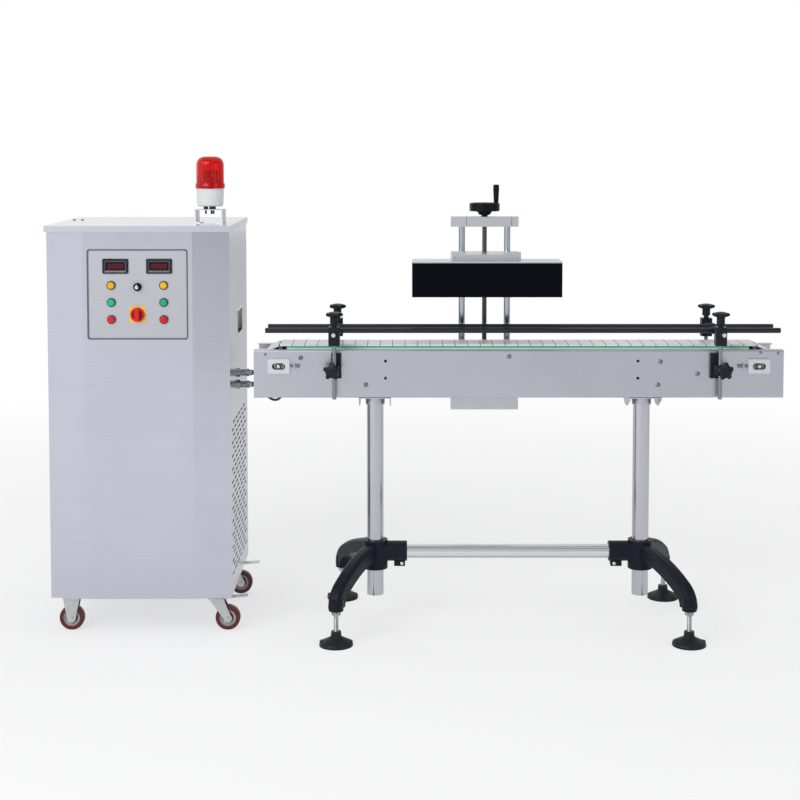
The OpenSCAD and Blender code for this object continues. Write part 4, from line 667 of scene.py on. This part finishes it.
def makeFasteners():
    corners = onPlates(fastenerLook["corner"], fastenerLook["cornerY"])
    makeHeads("cornerScrews", corners, fastenerLook["cornerSize"], finish["boltSteel"])
    lid = [((cabinet["x"] + x, cabinet["y"] + y, cabinet["lidZ"]), (0, 0, 1)) for x, y in fastenerLook["lid"]]
    makeHeads("lidScrews", lid, fastenerLook["lidSize"], finish["screwSteel"])
    hubs = onPlates([(x, fastenerLook["hubZ"]) for x in fastenerLook["hub"]], fastenerLook["hubY"])
    makeHeads("hubScrews", hubs, fastenerLook["hubSize"], finish["brightSteel"])
    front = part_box("take_up_blocks")[0].y
    for body, way in (("drive_line", -1), ("idler_line", 1)):
        base = Vector((conveyor["x"] + way * fastenerLook["shaft"], front, fastenerLook["shaftZ"]))
        # a real washer at each shaft end, its black a painted shade standing for the dark slot round the shaft
        makeDisc(body + "ShadeWasher", base, washerLook, finish["markBlack"], body)
        base.y -= washerLook["thick"]
        makeHeads(body + "Head", [(base, (0, -1, 0))], fastenerLook["shaftSize"], finish["brightSteel"], body)


makeFasteners()
print("fasteners done")

# lead screw with its turned thread
screwLook = {"radius": 0.008, "root": 0.0064, "core": 0.0062, "pitch": 0.004, "steps": 28, "end": 0.002,
             "plainTurns": 2, "merge": 0.00005,
             "profile": (("root", 0.0), ("root", 0.34), ("radius", 0.5), ("radius", 0.84))}


def makeScrew():
    low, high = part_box("lead_screw")
    middle = (low + high) / 2
    x, y, pitch = middle.x, middle.y, screwLook["pitch"]
    turns = int((high.z - low.z) / pitch) - screwLook["plainTurns"]
    shape = bmesh.new()
    profile = []
    for turn in range(turns):
        for part, share in screwLook["profile"]:
            rise = screwLook["end"] + (turn + share) * pitch
            profile.append(shape.verts.new((x + screwLook[part], y, low.z + rise)))
    edges = [shape.edges.new(pair) for pair in zip(profile, profile[1:])]
    bmesh.ops.spin(shape, geom=profile + edges, cent=(x, y, 0), axis=(0, 0, 1),
                   dvec=(0, 0, pitch / screwLook["steps"]), angle=math.tau, steps=screwLook["steps"])
    bmesh.ops.remove_doubles(shape, verts=shape.verts, dist=screwLook["merge"])
    addRod(shape, middle, screwLook["core"], high.z - low.z, axis="Z")
    screw = finishPiece("threadedScrew", shape, finish["screwSteel"], "lift_screw")
    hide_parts("lead_screw")


makeScrew()

# ribbed beacon dome
domeLook = {"ribs": 36, "ribSteps": 4, "ribDepth": 0.0008, "ribFoot": 0.001, "ribsFrom": 0.3, "wall": 0.0025,
            "edge": 0.026, "corner": 7, "flange": 0.015, "lip": 0.003, "soft": (0.001, 0.002), "step": 0.003,
            "pole": 0.0005}


def makeDome():
    low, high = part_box("beacon_dome")
    x, y = (low.x + high.x) / 2, (low.y + high.y) / 2
    outer = (high.x - low.x) / 2
    radius = outer - domeLook["lip"]
    edge, wall, pole = domeLook["edge"], domeLook["wall"], domeLook["pole"]
    foot = low.z + domeLook["flange"]
    softIn, softDown = domeLook["soft"]
    quarter = [math.radians(90 * i / domeLook["corner"]) for i in range(domeLook["corner"] + 1)]

    def corner(size, angles):
        return [(radius - edge + size * math.cos(a), high.z - edge + size * math.sin(a)) for a in angles]

    outline = [(outer, low.z), (outer, foot - softDown), (outer - softIn, foot), (radius, foot),
               (radius, foot + domeLook["step"]), *corner(edge, quarter), (pole, high.z), (pole, high.z - wall),
               *corner(edge - wall, reversed(quarter)), (radius - wall, low.z)]
    shape = bmesh.new()
    ring = [shape.verts.new((x + r, y, z)) for r, z in outline]
    edges = [shape.edges.new(pair) for pair in zip(ring, ring[1:] + ring[:1])]
    bmesh.ops.spin(shape, geom=ring + edges, cent=(x, y, 0), axis=(0, 0, 1), angle=math.tau,
                   steps=domeLook["ribs"] * domeLook["ribSteps"], use_merge=True)
    for vert in shape.verts:
        dx, dy = vert.co.x - x, vert.co.y - y
        out = math.hypot(dx, dy)
        if out > radius * domeLook["ribsFrom"] and vert.co.z > foot + domeLook["ribFoot"]:
            rib = domeLook["ribDepth"] * (0.5 + 0.5 * math.cos(domeLook["ribs"] * math.atan2(dy, dx)))
            vert.co.x -= dx / out * rib
            vert.co.y -= dy / out * rib
    dome = finishPiece("ribbedDome", shape, finish["domeRed"], "machine")
    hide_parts("beacon_dome")


makeDome()
print("screw and dome done")

# stage: pale floor, soft lamps and the photograph's camera
stageLook = {"floorSize": 40.0, "floorColor": (0.86, 0.865, 0.875), "lift": 0.62, "clear": 1.0,
             "liftSpan": (1.3, 4.5), "mirrored": (1.0, 0.55), "mirroredSpan": (-2.6, 0.4), "behind": 0.5,
             "behindSpan": (0.3, 1.5)}


def makeFloor():
    shape = bmesh.new()
    bmesh.ops.create_grid(shape, x_segments=1, y_segments=1, size=stageLook["floorSize"] / 2)
    mesh = bpy.data.meshes.new("floor")
    shape.to_mesh(mesh)
    shape.free()
    floor = bpy.data.objects.new("floor", mesh)
    scene.collection.objects.link(floor)
    made = bpy.data.materials.new("floorFinish")
    made.use_nodes = True
    tree = made.node_tree
    tree.nodes.clear()
    matt = tree.nodes.new("ShaderNodeBsdfDiffuse")
    matt.inputs["Color"].default_value = (*stageLook["floorColor"], 1)
    glow = tree.nodes.new("ShaderNodeEmission")
    glow.inputs["Color"].default_value = (1, 1, 1, 1)
    path = tree.nodes.new("ShaderNodeLightPath").outputs
    coords = tree.nodes.new("ShaderNodeTexCoord").outputs["Object"]
    axes = axesOf(tree, coords)
    back = mapRange(tree, axes["Y"], 1.0, stageLook["behind"], *stageLook["behindSpan"])
    across = mapRange(tree, axes["X"], *stageLook["mirrored"], *stageLook["mirroredSpan"])
    mirrored = calc(tree, "MULTIPLY", calc(tree, "MULTIPLY", path["Is Glossy Ray"], back), across)
    seen = calc(tree, "MAXIMUM", path["Is Camera Ray"], mirrored)
    away = vectorCalc(tree, "LENGTH", coords)
    lift = mapRange(tree, away, stageLook["lift"], stageLook["clear"], *stageLook["liftSpan"])
    mix = mixShader(tree, calc(tree, "MULTIPLY", seen, lift), matt, glow)
    out = tree.nodes.new("ShaderNodeOutputMaterial")
    tree.links.new(mix.outputs[0], out.inputs["Surface"])
    mesh.materials.append(made)


worldLook = {"shade": 0.8, "light": 0.64, "left": 1.35, "right": 0.40, "acrossSpan": (-0.7, 0.5),
             "behind": 0.40, "behindSpan": (0.2, 0.9), "above": 0.4, "aboveSpan": (0.55, 0.95)}


def background(tree, shade, strength):
    node = tree.nodes.new("ShaderNodeBackground")
    node.inputs["Color"].default_value = (shade, shade, shade, 1)
    feed(tree, node.inputs["Strength"], strength)
    return node


def makeWorld():
    # plain light on matt surfaces, graded surroundings in shiny ones, white behind the object
    world = bpy.data.worlds.new("studio")
    scene.world = world
    world.use_nodes = True
    tree = world.node_tree
    tree.nodes.clear()
    axes = axesOf(tree, tree.nodes.new("ShaderNodeTexCoord").outputs["Generated"])
    across = mapRange(tree, axes["X"], worldLook["left"], worldLook["right"], *worldLook["acrossSpan"])
    behind = mapRange(tree, axes["Y"], 0, worldLook["behind"], *worldLook["behindSpan"])
    above = mapRange(tree, axes["Z"], 1.0, worldLook["above"], *worldLook["aboveSpan"])
    graded = calc(tree, "MULTIPLY", calc(tree, "ADD", across, behind), above)
    path = tree.nodes.new("ShaderNodeLightPath").outputs
    shiny = calc(tree, "MAXIMUM", path["Is Glossy Ray"], path["Is Transmission Ray"])
    light = background(tree, worldLook["shade"], worldLook["light"])
    first = mixShader(tree, shiny, light, background(tree, worldLook["shade"], graded))
    last = mixShader(tree, path["Is Camera Ray"], first, background(tree, 1.0, 1.0))
    out = tree.nodes.new("ShaderNodeOutputWorld")
    tree.links.new(last.outputs[0], out.inputs["Surface"])


lampSet = (
    {"name": "keyLamp", "place": (-2.6, -3.6, 3.6), "aim": (-0.2, 0.0, 0.8), "size": 3.0, "power": 115},
    {"name": "fillLamp", "place": (3.6, -3.0, 2.4), "aim": (0.3, 0.0, 0.8), "size": 2.5, "power": 22},
    {"name": "topLamp", "place": (0.2, 0.6, 4.2), "aim": (0.0, 0.0, 0.6), "size": 4.0, "power": 30},
)


def makeLamps():
    for lamp in lampSet:
        data = bpy.data.lights.new(lamp["name"], "AREA")
        data.size = lamp["size"]
        data.energy = lamp["power"]
        light = bpy.data.objects.new(lamp["name"], data)
        light.location = lamp["place"]
        line = Vector(lamp["aim"]) - Vector(lamp["place"])
        light.rotation_euler = line.to_track_quat("-Z", "Y").to_euler()
        scene.collection.objects.link(light)


viewLook = {"place": (-0.0312, -4.8309, 1.5037), "lens": 70.63, "sensor": 36.0, "shiftX": -0.0083,
            "shiftY": -0.2073, "tilt": 3.6}


def makeCamera():
    data = bpy.data.cameras.new("photoCamera")
    data.lens = viewLook["lens"]
    data.sensor_width = viewLook["sensor"]
    data.shift_x = viewLook["shiftX"]
    data.shift_y = viewLook["shiftY"]
    camera = bpy.data.objects.new("photoCamera", data)
    camera.location = viewLook["place"]
    camera.rotation_euler = (math.radians(90 - viewLook["tilt"]), 0, 0)
    scene.collection.objects.link(camera)
    scene.camera = camera


makeFloor()
makeWorld()
makeLamps()
makeCamera()
print("stage set")
